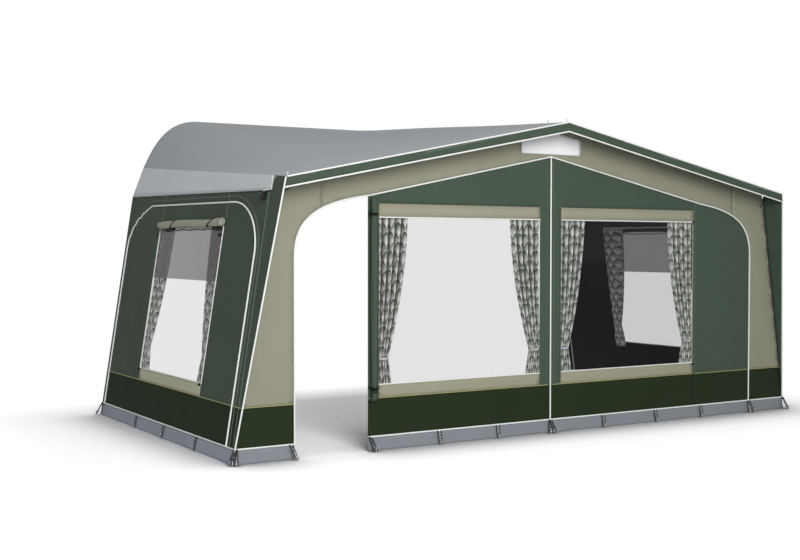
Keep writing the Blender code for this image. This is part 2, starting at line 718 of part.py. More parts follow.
def side_arch(side):
    """The arch round a side door, from its front foot over to its rear foot."""
    front = curve_points(
        (SIDE_FRONT_SPRING, SIDE_SPRING_HEIGHT), (SIDE_CROWN_FRONT, SIDE_CROWN_FRONT_HEIGHT),
        SIDE_FRONT_HANDLE_SHARES, CURVE_STEPS,
    )
    rear = curve_points(
        (SIDE_REAR_EDGE, SIDE_REAR_SPRING), (SIDE_CROWN_REAR, SIDE_CROWN_REAR_HEIGHT),
        SIDE_REAR_HANDLE_SHARES, CURVE_STEPS,
    )
    route = [(SIDE_FRONT_FOOT, MUD_WALL_HEIGHT)] + front + list(reversed(rear))
    points = [side_point(side, back, height) for back, height in route]
    return points + [(side_hinge(side), side_point(side, SIDE_REAR_EDGE, MUD_WALL_HEIGHT)[1])]


def make_side_wall(side, label):
    frame = SIDE_FRAMES[label]
    outer = [(0, MUD_WALL_HEIGHT), (0, SEAM_FRONT), (CLOTH_REAR, SEAM_REAR), (CLOTH_REAR, MUD_WALL_HEIGHT)]
    outline = [side_point(side, back, height) for back, height in outer]
    outline += list(reversed(side_arch(side)))
    flat_panel("side_wall_" + label, frame, outline, "green_cloth")
    base = CLOTH * math.tan(LEAN_ANGLE) - HALF_SEAM
    mud = [
        (0, base), (side_point(side, CLOTH_REAR, 0)[0], base),
        side_point(side, CLOTH_REAR, MUD_WALL_HEIGHT), side_point(side, 0, MUD_WALL_HEIGHT),
    ]
    flat_panel("mud_wall_side_" + label, frame, mud, "mud_wall_cloth")


def make_storm_wing(side, label):
    """The narrow triangle between the canopy's tip, the corner and the ground."""
    tip = -OVERHANG + CLOTH + AIR
    slope = (FOLD_REAR_HEIGHT - EAVES_HEIGHT) / DEPTH
    below = CLOTH / math.cos(ROOF_SLOPE_ANGLE) + CLOTH
    corners = [(0, MUD_WALL_HEIGHT), (0, EAVES_HEIGHT - below), (tip, EAVES_HEIGHT - below + slope * tip)]
    outline = [side_point(side, back, height) for back, height in corners]
    turn = Matrix.Rotation(side * math.atan(WING_FLARE / OVERHANG), 4, "Y")
    frame = add_empty("storm_wing_frame_" + label, turn, SIDE_FRAMES[label])
    flat_panel("storm_wing_" + label, frame, outline, "green_cloth")


def make_side_door(side, label):
    hinge_x = side_hinge(side)
    hinge = add_empty("side_door_hinge_" + label, Matrix.Translation((hinge_x, 0, 0)), SIDE_FRAMES[label])
    front, bottom = side_point(side, SIDE_WINDOW_FRONT, WINDOW_BOTTOM)
    rear, top = side_point(side, SIDE_WINDOW_REAR, SIDE_WINDOW_TOP)
    window = window_outline(min(front, rear), max(front, rear), bottom, top)
    panel = flat_panel(
        "side_door_" + label, hinge, side_arch(side), "green_cloth", holes=[window], shift=hinge_x
    )
    film_and_rail(panel, hinge, "side_" + label, window, shift=hinge_x)
    curtain("curtain_side_%s_front" % label, hinge, front, side, window, shift=hinge_x)
    curtain("curtain_side_%s_rear" % label, hinge, rear, -side, window, shift=hinge_x)
    make_blind_roll(side, label, hinge, hinge_x)


def make_blind_roll(side, label, hinge, hinge_x):
    """The window's blind, rolled up above it and held by two straps that draw it in."""
    rings = []
    front = SIDE_WINDOW_FRONT - BLIND_OVER_FRONT
    rear = SIDE_WINDOW_REAR + BLIND_OVER_REAR
    middle = SIDE_WINDOW_TOP + BLIND_ROLL_RISE - BLIND_ROLL_HEIGHT / 2
    straps = (SIDE_WINDOW_FRONT + BLIND_STRAP_FRONT, SIDE_WINDOW_REAR - BLIND_STRAP_REAR)
    for ring in range(ROLL_RINGS + 1):
        back = lerp(front, rear, ring / ROLL_RINGS)
        nearest = min(abs(back - strap) for strap in straps)
        pinch = 1 - BLIND_STRAP_SHARE * math.exp(-(nearest / BLIND_ROLL_HEIGHT) ** 2)
        middle_x, middle_y = side_point(side, back, middle)
        points = []
        for corner in range(ROLL_SIDES):
            angle = 2 * math.pi * corner / ROLL_SIDES
            points.append((
                middle_x - hinge_x,
                middle_y + BLIND_ROLL_HEIGHT / 2 * pinch * math.cos(angle),
                BLIND_ROLL_DEPTH / 2 * (1 + pinch * math.sin(angle)) + AIR,
            ))
        rings.append(points)
    lofted_roll("blind_roll_" + label, hinge, rings, "beige_cloth")


def make_front_mud_walls():
    """Mud walls under the front cloth; the open doorway has none."""
    ground = -HALF_SEAM
    foot = front_edge(0)
    head = front_edge(MUD_WALL_HEIGHT)
    corner = [(-foot, ground), (-ARCH_HALF, ground), (-ARCH_HALF, MUD_WALL_HEIGHT), (-head, MUD_WALL_HEIGHT)]
    left = window_outline(-PANEL_LEFT_EDGE, 0, ground, MUD_WALL_HEIGHT)
    right = [(0, ground), (foot, ground), (head, MUD_WALL_HEIGHT), (0, MUD_WALL_HEIGHT)]
    for name, outline in (("corner_left", corner), ("front_left", left), ("front_right", right)):
        flat_panel("mud_wall_" + name, FRONT, outline, "mud_wall_cloth")


# Roof and canopy

def rear_roof_points():
    """Right half of the roof's rear edge, from the fold to the ridge."""
    shoulder = curve_points(
        (FOLD_REAR_HALF, FOLD_REAR_HEIGHT), (SHOULDER_HALF, SHOULDER_HEIGHT),
        SHOULDER_HANDLE_SHARES, SHOULDER_STEPS,
    )
    level = [
        (lerp(SHOULDER_HALF, 0, step / ROOF_FLAT_STEPS), lerp(SHOULDER_HEIGHT, RIDGE_REAR, step / ROOF_FLAT_STEPS))
        for step in range(1, ROOF_FLAT_STEPS + 1)
    ]
    return shoulder + level


def bump(share):
    """Rises from 0 at both ends of a span to 1 in its middle."""
    return 1 - (1 - 2 * share) ** 2


def roof_row(back):
    """Right half of one row of the roof, from the side seam over the fold to the ridge."""
    rear = [Vector(point) for point in rear_roof_points()]
    lengths = [0.0]
    for first, second in zip(rear, rear[1:]):
        lengths.append(lengths[-1] + (second - first).length)
    fold_front = side_plane_half(0, EAVES_HEIGHT)
    travel = back / DEPTH
    row = []
    for point, length in zip(rear, lengths):
        share = length / lengths[-1]
        front_x = lerp(fold_front, 0, share)
        front_z = lerp(EAVES_HEIGHT, RIDGE_FRONT, share)
        hang = ROOF_SAG * bump(max(travel, 0)) * bump(share)
        row.append((lerp(front_x, point.x, travel), lerp(front_z, point.y, travel) - hang))
    seam_height = lerp(SEAM_FRONT, SEAM_REAR, max(travel, 0))
    seam_height += HALF_SEAM + CLOTH * math.sin(LEAN_ANGLE) * 2
    return [(side_plane_half(max(back, 0), seam_height), seam_height)] + row


def make_roof():
    fronts = [-OVERHANG + CLOTH + AIR, 0]
    backs = fronts + [CLOTH_REAR * step / ROOF_ROWS for step in range(1, ROOF_ROWS + 1)]
    rows = []
    for back in backs:
        half = roof_row(back)
        left = [(-x, WALL_Y + back, z) for x, z in half]
        right = [(x, WALL_Y + back, z) for x, z in reversed(half)]
        rows.append(left + right[1:])
    last = len(rows[0]) - 2
    roof = grid_sheet(
        "roof_sheet", None, rows, "roof_cloth", CLOTH, skip=lambda i, j: i == 0 and j in (0, last)
    )
    for number, (x, y, z) in enumerate(spike_places()):
        cutter = cylinder(
            "eyelet_%d" % number, None, EYELET_RADIUS, 2 * SPIKE_HEIGHT, (x, y, z - SPIKE_HEIGHT), "pole_steel"
        )
        combine(roof, cutter, "DIFFERENCE")


def make_valance():
    half = roof_row(-OVERHANG)[1][0]
    tip = canopy_height(half)
    top = [(-half, tip), (0, canopy_height(0)), (half, tip)]
    bottom = [(x, y - VALANCE_HEIGHT) for x, y in reversed(top)]
    frame = add_empty("canopy_frame", Matrix.Translation((0, 0, OVERHANG)), FRONT)
    flat_panel("canopy_valance", frame, top + bottom, "green_cloth")


def canopy_height(sideways):
    """Top of the roof at the canopy's front edge."""
    row = roof_row(-OVERHANG)
    fold, ridge = row[1], row[-1]
    return lerp(ridge[1], fold[1], abs(sideways) / fold[0])


# Poles

def fold_axis(side, back):
    """Middle of a side roof pole, tucked into the fold from inside."""
    fold_front = Vector((side_plane_half(0, EAVES_HEIGHT), EAVES_HEIGHT))
    fold_rear = Vector((FOLD_REAR_HALF, FOLD_REAR_HEIGHT))
    fold = fold_front.lerp(fold_rear, back / DEPTH)
    roof_in = Vector((math.sin(ROOF_SLOPE_ANGLE), math.cos(ROOF_SLOPE_ANGLE)))
    side_in = Vector((math.cos(LEAN_ANGLE), math.sin(LEAN_ANGLE)))
    away = (roof_in + side_in) * (POLE_REACH / (1 + roof_in.dot(side_in)))
    return Vector((side * (fold.x - away.x), WALL_Y + back, fold.y - away.y))


def ridge_axis(back):
    height = lerp(RIDGE_FRONT, RIDGE_REAR, back / DEPTH) - POLE_REACH / math.cos(ROOF_SLOPE_ANGLE)
    return Vector((0, WALL_Y + back, height))


def spike_places():
    """Roof surface above each spike: one at each canopy tip and one over the centre leg."""
    back = SPIKE_SET_BACK - OVERHANG
    places = []
    for side, label in SIDES:
        axis = fold_axis(side, back)
        places.append((axis.x, axis.y, axis.z + POLE_REACH))
    for ridge_back in (back, LEG_STAND_OFF + CLOTH):
        axis = ridge_axis(ridge_back)
        places.append((axis.x, axis.y, axis.z + POLE_REACH))
    return places


def clamp_boss(item, frame, along):
    """The threaded boss on a clamp collar, pointing along the frame's x axis."""
    seat = Matrix.Translation((0, 0, along)) @ Matrix.Rotation(math.pi / 2, 4, "Y")
    holder = add_empty(item.name + "_boss_frame", seat, frame)
    start = OUTER_RADIUS - OUTER_WALL / 2
    boss = cylinder(
        item.name + "_boss", holder, BOSS_RADIUS, BOSS_REACH - start, (0, 0, start), "pole_steel"
    )
    combine(item, boss, "UNION")
    return holder


def clamp_knob(name, holder):
    """A wing knob that tightens the clamp, turning about its boss."""
    centre = BOSS_REACH + AIR
    knob = cylinder(name, holder, KNOB_RADIUS, KNOB_LENGTH, (0, 0, centre), "clamp_plastic")
    wing = box(
        name + "_wing", holder, (WING_THICK, WING_SPAN, WING_HEIGHT),
        (0, 0, centre + KNOB_LENGTH - WING_HEIGHT / 2 + OVERRUN / 2), "clamp_plastic", WING_BEVEL,
    )
    return combine(knob, wing, "UNION")


def outer_tube(name, frame, length):
    """An outer tube, blind at its far end, with a clamp collar at the open end where the inner tube enters."""
    bore = OUTER_RADIUS - OUTER_WALL
    profile = [
        (0, length), (OUTER_RADIUS, length), (OUTER_RADIUS, COLLAR_LENGTH), (COLLAR_RADIUS, COLLAR_LENGTH),
        (COLLAR_RADIUS, 0), (bore, 0), (bore, length - OUTER_RADIUS), (0, length - OUTER_RADIUS),
    ]
    return turned(name, frame, profile, "pole_steel")


def inner_tube(name, frame, start, end):
    """A hollow inner tube between two places on the frame's z axis."""
    profile = [
        (INNER_RADIUS, end), (INNER_RADIUS, start),
        (INNER_RADIUS - INNER_WALL, start), (INNER_RADIUS - INNER_WALL, end),
    ]
    return turned(name, frame, profile, "pole_steel", ring=True)


def make_leg(name, foot, head, split, bracket_width):
    """A leg: the upper tube carries a saddle bracket, the lower one slides in it and ends in a foot plate."""
    foot, head = Vector(foot), Vector(head)
    direction = (head - foot).normalized()
    joint = foot + direction * ((split - foot.z) / direction.z)
    frame = axis_frame(name + "_axis", joint, head, (0, 1, 0))
    top = (head - joint).length
    upper = outer_tube(name + "_upper", frame, top - BRACKET_HEIGHT / 2)
    bracket = box(
        name + "_bracket", None, (bracket_width, BRACKET_DEPTH, BRACKET_HEIGHT),
        head - Vector((0, 0, BRACKET_HEIGHT / 2)), "pole_steel", BRACKET_BEVEL,
    )
    combine(upper, bracket, "UNION")
    holder = clamp_boss(upper, frame, COLLAR_LENGTH / 2)
    clamp_knob(name + "_knob", holder)
    bottom = (foot - joint).dot(direction) + FOOT_THICK / 2 / direction.z
    lower = inner_tube(name + "_lower", frame, bottom, LEG_OVERLAP)
    plate = cylinder(
        name + "_plate", None, FOOT_RADIUS, FOOT_THICK, (foot.x, foot.y, 0), "foot_rubber", bevel=FOOT_BEVEL
    )
    combine(lower, plate, "UNION")


def make_roof_pole(name, axis, spikes, pad_offset):
    """A roof pole: front tube with a spike at its nose, rear tube that pushes a pad against the mounting plane."""
    nose = axis(ROOF_POLE_NOSE - OVERHANG)
    split = axis(ROOF_POLE_SPLIT)
    frame = axis_frame(name + "_axis", split, nose, (0, 0, -1))
    length = (nose - split).length
    front = outer_tube(name + "_front", frame, length)
    for number, (x, y, z) in enumerate(spikes):
        rise = POLE_REACH - OUTER_RADIUS / 2 + SPIKE_HEIGHT
        spike = cylinder(
            "%s_spike_%d" % (name, number), None, SPIKE_RADIUS, rise,
            (x, y, z + SPIKE_HEIGHT - rise), "pole_steel",
        )
        combine(front, spike, "UNION")
    holder = clamp_boss(front, frame, COLLAR_LENGTH / 2)
    clamp_knob(name + "_knob", holder)
    end = axis(DEPTH)
    along = (end - split).normalized()
    reach = (end - split).length
    tilt = along.angle(Vector((0, 1, 0)))
    tube_end = -reach + PAD_THICK + AIR + INNER_RADIUS * math.tan(tilt)
    inner_tube(name + "_rear", frame, tube_end, ROOF_POLE_OVERLAP)
    centre = end + Vector((pad_offset[0], -PAD_THICK / 2, pad_offset[1]))
    pad = box(
        name + "_pad", None, (PAD_WIDTH, PAD_THICK, PAD_HEIGHT), centre, "foot_rubber", PAD_BEVEL
    )
    bore = INNER_RADIUS + AIR
    socket_back = -reach + PAD_THICK - PAD_SOCKET_ROOT
    socket_front = socket_back + PAD_SOCKET_LENGTH
    socket = turned(
        name + "_socket", frame,
        [
            (bore + PAD_SOCKET_WALL, socket_front), (bore + PAD_SOCKET_WALL, socket_back),
            (bore, socket_back), (bore, socket_front),
        ],
        "foot_rubber", ring=True,
    )
    combine(pad, socket, "UNION")
    print(name, "slides along", [round(value, 5) for value in -along])


def make_rafter(side, label):
    """Gable rafter under the front roof line, from the side roof pole to the ridge pole."""
    back = CLOTH + AIR + OUTER_RADIUS
    end_gap = OUTER_RADIUS * (1 + math.sin(ROOF_SLOPE_ANGLE)) + AIR

    def axis(sideways):
        height = roof_line(sideways) - POLE_REACH / math.cos(ROOF_SLOPE_ANGLE)
        return Vector((side * sideways, WALL_Y + back, height))

    low = axis(abs(fold_axis(side, back).x) - end_gap)
    high = axis(end_gap)
    frame = axis_frame("gable_rafter_axis_" + label, low, high, (0, 0, -1))
    profile = [
        (OUTER_RADIUS, (high - low).length), (OUTER_RADIUS, 0),
        (OUTER_RADIUS - OUTER_WALL, 0), (OUTER_RADIUS - OUTER_WALL, (high - low).length),
    ]
    turned("gable_rafter_" + label, frame, profile, "pole_steel", ring=True)


def make_frame_poles():
    back = CLOTH + LEG_STAND_OFF
    places = spike_places()
    make_leg(
        "centre_leg", (0, WALL_Y + back, 0),
        (0, WALL_Y + back, ridge_axis(back - BRACKET_DEPTH / 2).z - OUTER_RADIUS - AIR),
        LEG_SPLIT_CENTRE, RIDGE_BRACKET_WIDTH,
    )
    make_roof_pole(
        "ridge_pole", ridge_axis, places[2:], (0, PAD_EDGE - PAD_HEIGHT / 2)
    )
    inward = (LEG_STAND_OFF + CLOTH) / math.cos(LEAN_ANGLE)
    for index, (side, label) in enumerate(SIDES):
        head_height = fold_axis(side, back - BRACKET_DEPTH / 2).z - OUTER_RADIUS - AIR
        foot = (side * (side_plane_half(back, 0) - inward), WALL_Y + back, 0)
        head = (side * (side_plane_half(back, head_height) - inward), WALL_Y + back, head_height)
        make_leg("corner_leg_" + label, foot, head, LEG_SPLIT_CORNER, BRACKET_WIDTH)
        make_roof_pole(
            "side_roof_pole_" + label, lambda value, side=side: fold_axis(side, value), places[index:index + 1],
            (side * (PAD_EDGE - PAD_WIDTH / 2), PAD_EDGE - PAD_HEIGHT / 2),
        )
        make_rafter(side, label)


def make_rail_bead():
    """The round bead along the back edge, which slides into an awning rail."""
    half = [(side_plane_half(DEPTH, height), height) for height in (BEAD_FOOT, SEAM_REAR)]
    half += rear_roof_points()
    route = [(x - BEAD_RADIUS, z - BEAD_RADIUS) for x, z in half[:-1]]
    route += [(0, half[-1][1] - BEAD_RADIUS)]
    points = [(-x, z) for x, z in route] + list(reversed(route[:-1]))
    curve = bpy.data.curves.new("rail_bead", "CURVE")
    curve.dimensions = "3D"
    curve.bevel_depth = BEAD_RADIUS
    curve.bevel_resolution = BEAD_CURVE_STEPS
    curve.use_fill_caps = True
    spline = curve.splines.new("POLY")
    spline.points.add(len(points) - 1)
    for point, (x, z) in zip(spline.points, points):
        point.co = (x, 0, z, 1)
    bead = bpy.data.objects.new("rail_bead", curve)
    place(bead, None, (0, REAR_Y - BEAD_RADIUS, 0), "bead_cord")


make_roof()
make_valance()
make_gable_band()
make_pillars()
make_front_mud_walls()
make_front_panel_left()
make_front_panel_right()
make_front_door_right()
make_door_roll()
for wall_side, wall_label in SIDES:
    make_side_wall(wall_side, wall_label)
    make_storm_wing(wall_side, wall_label)
    make_side_door(wall_side, wall_label)
make_frame_poles()
make_rail_bead()
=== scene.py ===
# %% [markdown]
# # Caravan awning
# A caravan awning is a tent with a roof and three walls. A round bead along its back edge slides
# into a rail, telescopic poles carry it, and its cloth is sewn from many flat cuts. This file
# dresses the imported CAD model: rigid poles keep their CAD shape and get better materials, and every
# cloth piece is made again here as real, thin cloth, with its piping, seams, windows and curtains.

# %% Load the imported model
import math

import bmesh
import bpy
import numpy as np
from mathutils import Matrix, Vector, noise
from mathutils.geometry import delaunay_2d_cdt


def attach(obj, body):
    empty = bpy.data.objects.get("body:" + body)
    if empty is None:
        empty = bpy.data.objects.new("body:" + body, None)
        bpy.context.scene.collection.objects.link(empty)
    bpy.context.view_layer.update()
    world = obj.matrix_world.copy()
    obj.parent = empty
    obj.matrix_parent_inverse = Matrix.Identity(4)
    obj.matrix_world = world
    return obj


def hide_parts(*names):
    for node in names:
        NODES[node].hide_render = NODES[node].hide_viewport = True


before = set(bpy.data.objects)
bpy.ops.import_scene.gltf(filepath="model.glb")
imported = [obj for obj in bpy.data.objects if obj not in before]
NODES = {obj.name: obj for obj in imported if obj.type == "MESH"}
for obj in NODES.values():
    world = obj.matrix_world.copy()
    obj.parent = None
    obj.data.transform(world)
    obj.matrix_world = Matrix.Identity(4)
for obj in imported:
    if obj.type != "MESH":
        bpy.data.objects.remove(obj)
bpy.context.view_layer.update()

# %% [markdown]
# The camera stands a little in front of the left corner at eye height. Its place and turn were
# solved from the corners of the walls, so a cloth edge in the render falls where it falls in the
# photograph. It is made from three directions, which is easier to read than three Euler angles.

# %% Camera
CAMERA_PLACE = (-5.834, -8.4225, 1.417)
CAMERA_TURN, CAMERA_TILT, CAMERA_ROLL = 0.5614, -0.0277, 0.0008   # radians
SENSOR_WIDTH, FOCAL_LENGTH = 36, 54.15                            # mm
SEEN_DISTANCE = 200                                               # m, past the floor's far edge


def add_object(name, data):
    item = bpy.data.objects.new(name, data)
    bpy.context.scene.collection.objects.link(item)
    return item


def make_camera():
    ahead = Vector((
        math.sin(CAMERA_TURN) * math.cos(CAMERA_TILT),
        math.cos(CAMERA_TURN) * math.cos(CAMERA_TILT),
        math.sin(CAMERA_TILT),
    ))
    across = Vector((math.cos(CAMERA_TURN), -math.sin(CAMERA_TURN), 0))
    upward = across.cross(ahead)
    level, lift = math.cos(CAMERA_ROLL), math.sin(CAMERA_ROLL)
    across, upward = across * level + upward * lift, upward * level - across * lift
    lens = bpy.data.cameras.new("photo_camera")
    lens.sensor_width, lens.lens, lens.clip_end = SENSOR_WIDTH, FOCAL_LENGTH, SEEN_DISTANCE
    camera = add_object("photo_camera", lens)
    camera.matrix_world = Matrix((across, upward, -ahead)).transposed().to_4x4()
    camera.matrix_world.translation = Vector(CAMERA_PLACE)
    bpy.context.scene.camera = camera


make_camera()
print("camera at", CAMERA_PLACE, "with a", FOCAL_LENGTH, "mm lens")

# %% [markdown]
# Every cloth piece lies on one of two kinds of wall: the upright front wall, or a side wall that
# leans in. The same few sizes as in the CAD source place them. A wall is treated as a flat sheet of
# paper with its own two axes, and one function folds that paper into the room. Then a pattern piece
# can be cut flat, as a sailmaker cuts it, and still land exactly on the CAD.

# %% Sizes and places
DEPTH, OVERHANG = 2.80, 0.213
REAR_EDGE = DEPTH - 0.004        # the walls and the roof end here, at the rear bead
WALL_Y = -1.2935
BASE_FRONT, BASE_REAR = 2.626, 2.580
LEAN = 0.285 / 1.8
SEAM_FRONT, SEAM_REAR = 1.790, 1.837
EAVES, RIDGE_FRONT, RIDGE_REAR = 1.885, 2.355, 2.520
FOLD_REAR, SHOULDER = (2.190, 2.092), (1.720, 2.512)
FOLD_SLOPE = (FOLD_REAR[1] - EAVES) / DEPTH
ROOF_SAG = 0.075
HEM, KICK = 0.102, 0.368         # top of the mud wall, top of the dark kick band
SILL, WINDOW_TOP = 0.461, 1.621  # lower and upper edge of the front windows
STRIP = 1.716                    # top of the beige strip over a front window
ARCH_HALF, ARCH_SPRING, ARCH_APEX = 2.180, 1.345, 2.098
ARCH_SHOULDER = (1.600, 1.770)
PANEL_EDGE, DOOR_SEAM = 1.612, 1.520
SIDE_FOOT_FRONT, SIDE_FOOT_REAR = 0.143, 2.727   # feet of the arch round a side door
WING_FLARE = 0.010 / OVERHANG    # how much a storm wing turns out from its wall
WING_PIPING_FLARE = 0.0468       # the same for the piping on the wing's front edge
CLOTH = 0.0012                   # cloth as drawn here; the CAD's is 3 mm
FRONT_OUT = Vector((0, -1, 0))


def lerp(start, end, share):
    return start + (end - start) * share


def rounded(start, end, shares, steps):
    """A rounded corner from start to end; shares place its handles in the box between them."""
    start, end = Vector(start), Vector(end)
    span = end - start
    first, second = (start + Vector((a * span.x, b * span.y)) for a, b in shares)
    points = []
    for step in range(steps + 1):
        t = step / steps
        s = 1 - t
        points.append(tuple(s**3 * start + 3 * s * s * t * first + 3 * s * t * t * second + t**3 * end))
    return points


def side_half(back, height):
    """Half width of the awning at a distance behind the front wall."""
    return lerp(BASE_FRONT, BASE_REAR, back / DEPTH) - LEAN * height


def roof_line(sideways):
    return lerp(RIDGE_FRONT, EAVES, abs(sideways) / side_half(0, EAVES))


def front_place(x, z, out=0.0):
    return Vector((x, WALL_Y - out, z))


def side_axes(side):
    """Along a side wall, up its cloth, and outwards; side is -1 for left and 1 for right."""
    along = Vector((side * (BASE_REAR - BASE_FRONT), DEPTH, 0)).normalized() * side
    up = Vector((-side * LEAN, 0, 1)).normalized()
    up = (up - along * up.dot(along)).normalized()
    return along, up, along.cross(up)


SIDE_AXES = {side: side_axes(side) for side in (-1, 1)}


def side_flat(side, back, height):
    """A place on a side wall, in that wall's own flat coordinates."""
    along, up, _ = SIDE_AXES[side]
    rise = height / up.z
    return ((back - up.y * rise) / along.y, rise)


def side_folder(side):
    """The function that folds a side wall's flat coordinates into the room."""
    along, up, outward = SIDE_AXES[side]
    corner = Vector((side * BASE_FRONT, WALL_Y, 0))
    return lambda x, y, out=0.0: corner + along * x + up * y + outward * out


SIDE_PLACE = {side: side_folder(side) for side in (-1, 1)}
SIDES = ((-1, "left"), (1, "right"))
SHELL = "awning_shell"            # the body of the roof, the walls and everything sewn to them

FRONT_CORNER = rounded((ARCH_HALF, ARCH_SPRING), ARCH_SHOULDER, ((0.0, 0.60), (0.276, 0.87)), 24)
BAND_SEAM = FRONT_CORNER[15]      # where the pillar is sewn to the gable band


def arch_at(sideways):
    """Height of the front arch at a distance from the middle."""
    if sideways <= ARCH_SHOULDER[0]:
        return lerp(ARCH_APEX, ARCH_SHOULDER[1], sideways / ARCH_SHOULDER[0])
    for (x0, z0), (x1, z1) in zip(FRONT_CORNER, FRONT_CORNER[1:]):
        if x1 <= sideways <= x0:
            return lerp(z1, z0, (sideways - x1) / (x0 - x1))
    return ARCH_SPRING


def side_arch_route():
    """The arch round a side door as (back, height) points, front foot first."""
    front = rounded((0.125, 1.380), (0.600, 1.727), ((0.020, 0.500), (0.400, 1.0)), 20)
    rear = rounded((SIDE_FOOT_REAR, 1.400), (2.250, 1.745), ((0.030, 0.600), (0.600, 0.850)), 20)
    return [(SIDE_FOOT_FRONT, HEM)] + front + list(reversed(rear)) + [(SIDE_FOOT_REAR, HEM)]


print("front arch", ARCH_APEX, "m high, side door", round(SIDE_FOOT_REAR - SIDE_FOOT_FRONT, 3), "m wide")

# %% [markdown]
# Materials come next. A small class keeps the node work short: it makes one Principled shader and
# adds nodes to it by name. Awning cloth is a coated polyester, so it is matt with a soft sheen. Its
# threads come from two wave textures on the UV map, which is laid out in metres, so that a thread
# has its real size on every piece. Slow noise on Object coordinates makes the colour drift a little,
# as dyed and sun-bleached cloth does, and a bump of the same noise gives it soft creases.

# %% Finishes: the helper and the cloths
def plug(tree, socket, value):
    """Link another socket into this one, or set it to a plain value."""
    if isinstance(value, bpy.types.NodeSocket):
        tree.links.new(value, socket)
    else:
        socket.default_value = value


def add_node(tree, kind, inputs=None, **settings):
    made = tree.nodes.new(kind)
    for label, value in settings.items():
        setattr(made, label, value)
    for label, value in (inputs or {}).items():
        plug(tree, made.inputs[label], value)
    return made


class Finish:
    """A material with a Principled shader, and short ways to add nodes to it."""

    def __init__(self, name, colour, roughness, **sockets):
        self.material = bpy.data.materials.new(name)
        self.material.use_nodes = True
        self.tree = self.material.node_tree
        self.shader = self.tree.nodes["Principled BSDF"]
        self.material.diffuse_color = (*colour, 1)
        self.set(Base_Color=(*colour, 1), Roughness=roughness, **sockets)
        coordinates = self.node("ShaderNodeTexCoord")
        self.flat, self.solid = coordinates.outputs["UV"], coordinates.outputs["Object"]

    def set(self, **sockets):
        for label, value in sockets.items():
            plug(self.tree, self.shader.inputs[label.replace("_", " ")], value)

    def node(self, kind, inputs=None, **settings):
        return add_node(self.tree, kind, inputs, **settings)

    def maths(self, operation, first, second=0.5):
        return self.node("ShaderNodeMath", {0: first, 1: second}, operation=operation).outputs[0]

    def plus(self, first, second):
        return self.maths("ADD", first, second)

    def minus(self, first, second):
        return self.maths("SUBTRACT", first, second)

    def times(self, first, second):
        return self.maths("MULTIPLY", first, second)

    def mix(self, share, first, second):
        return self.node("ShaderNodeMix", {0: share, 6: first, 7: second}, data_type="RGBA").outputs[2]

    def noise(self, scale, detail=3.0, where=None, roughness=0.55):
        inputs = {"Vector": where or self.solid, "Scale": scale, "Detail": detail, "Roughness": roughness}
        return self.node("ShaderNodeTexNoise", inputs).outputs["Fac"]

    def ramp(self, value, stops):
        made = self.node("ShaderNodeValToRGB", {"Fac": value})
        band = made.color_ramp
        while len(band.elements) < len(stops):
            band.elements.new(0.5)
        for element, (position, colour) in zip(band.elements, stops):
            element.position = position
            element.color = (*colour, 1)
        return made.outputs["Color"]

    def bump(self, *layers):
        """Bump from (height, strength, distance) layers, one on the next."""
        normal = None
        for height, strength, distance in layers:
            inputs = {"Height": height, "Strength": strength, "Distance": distance}
            if normal is not None:
                inputs["Normal"] = normal
            normal = self.node("ShaderNodeBump", inputs).outputs["Normal"]
        self.set(Normal=normal)

    def threads(self, pitch, wobble=0.8):
        """Warp and weft, from 0 between the threads to 1 on them."""
        inputs = {"Vector": self.flat, "Scale": math.pi / (10 * pitch), "Distortion": wobble}
        inputs |= {"Detail": 1.0, "Detail Scale": 0.4}
        waves = [self.node("ShaderNodeTexWave", inputs, bands_direction=way).outputs["Fac"] for way in "XY"]
        return self.maths("MAXIMUM", *waves)


def tinted(colour, factor):
    return tuple(min(1.0, channel * factor) for channel in colour)


def cloth_finish(name, colour, pitch=0.0011, roughness=0.80, sheen=0.04, drift=0.12, crease=0.35, dust=0.0):
    """Woven cloth; dust is how strongly splashed soil shows near the ground."""
    finish = Finish(name, colour, roughness, Sheen_Weight=sheen, Sheen_Roughness=0.45, Specular_IOR_Level=0.12)
    threads = finish.threads(pitch)
    clouds = finish.noise(1.6, 5.0)
    flecks = finish.noise(70.0, 2.0, finish.flat)
    tone = finish.plus(finish.times(clouds, 0.6), finish.times(flecks, 0.4))
    cloth = finish.ramp(tone, [(0.30, tinted(colour, 1 - drift)), (0.70, tinted(colour, 1 + drift))])
    dark = finish.ramp(tone, [(0.30, tinted(colour, 0.80 - drift)), (0.70, tinted(colour, 0.80 + drift))])
    colour_out = finish.mix(threads, dark, cloth)
    if dust:
        height = finish.node("ShaderNodeSeparateXYZ", {"Vector": finish.solid}).outputs["Z"]
        inputs = {"Value": height, "From Max": 0.34, "To Min": dust, "To Max": 0.0}
        near = finish.node("ShaderNodeMapRange", inputs).outputs[0]
        splash = finish.times(near, finish.maths("POWER", finish.noise(14.0, 6.0), 1.6))
        colour_out = finish.mix(splash, colour_out, (0.30, 0.27, 0.22, 1))
    finish.set(Base_Color=colour_out)
    finish.bump((finish.noise(5.0, 4.0), crease, 0.010), (threads, 0.25, 0.0004))
    return finish.material


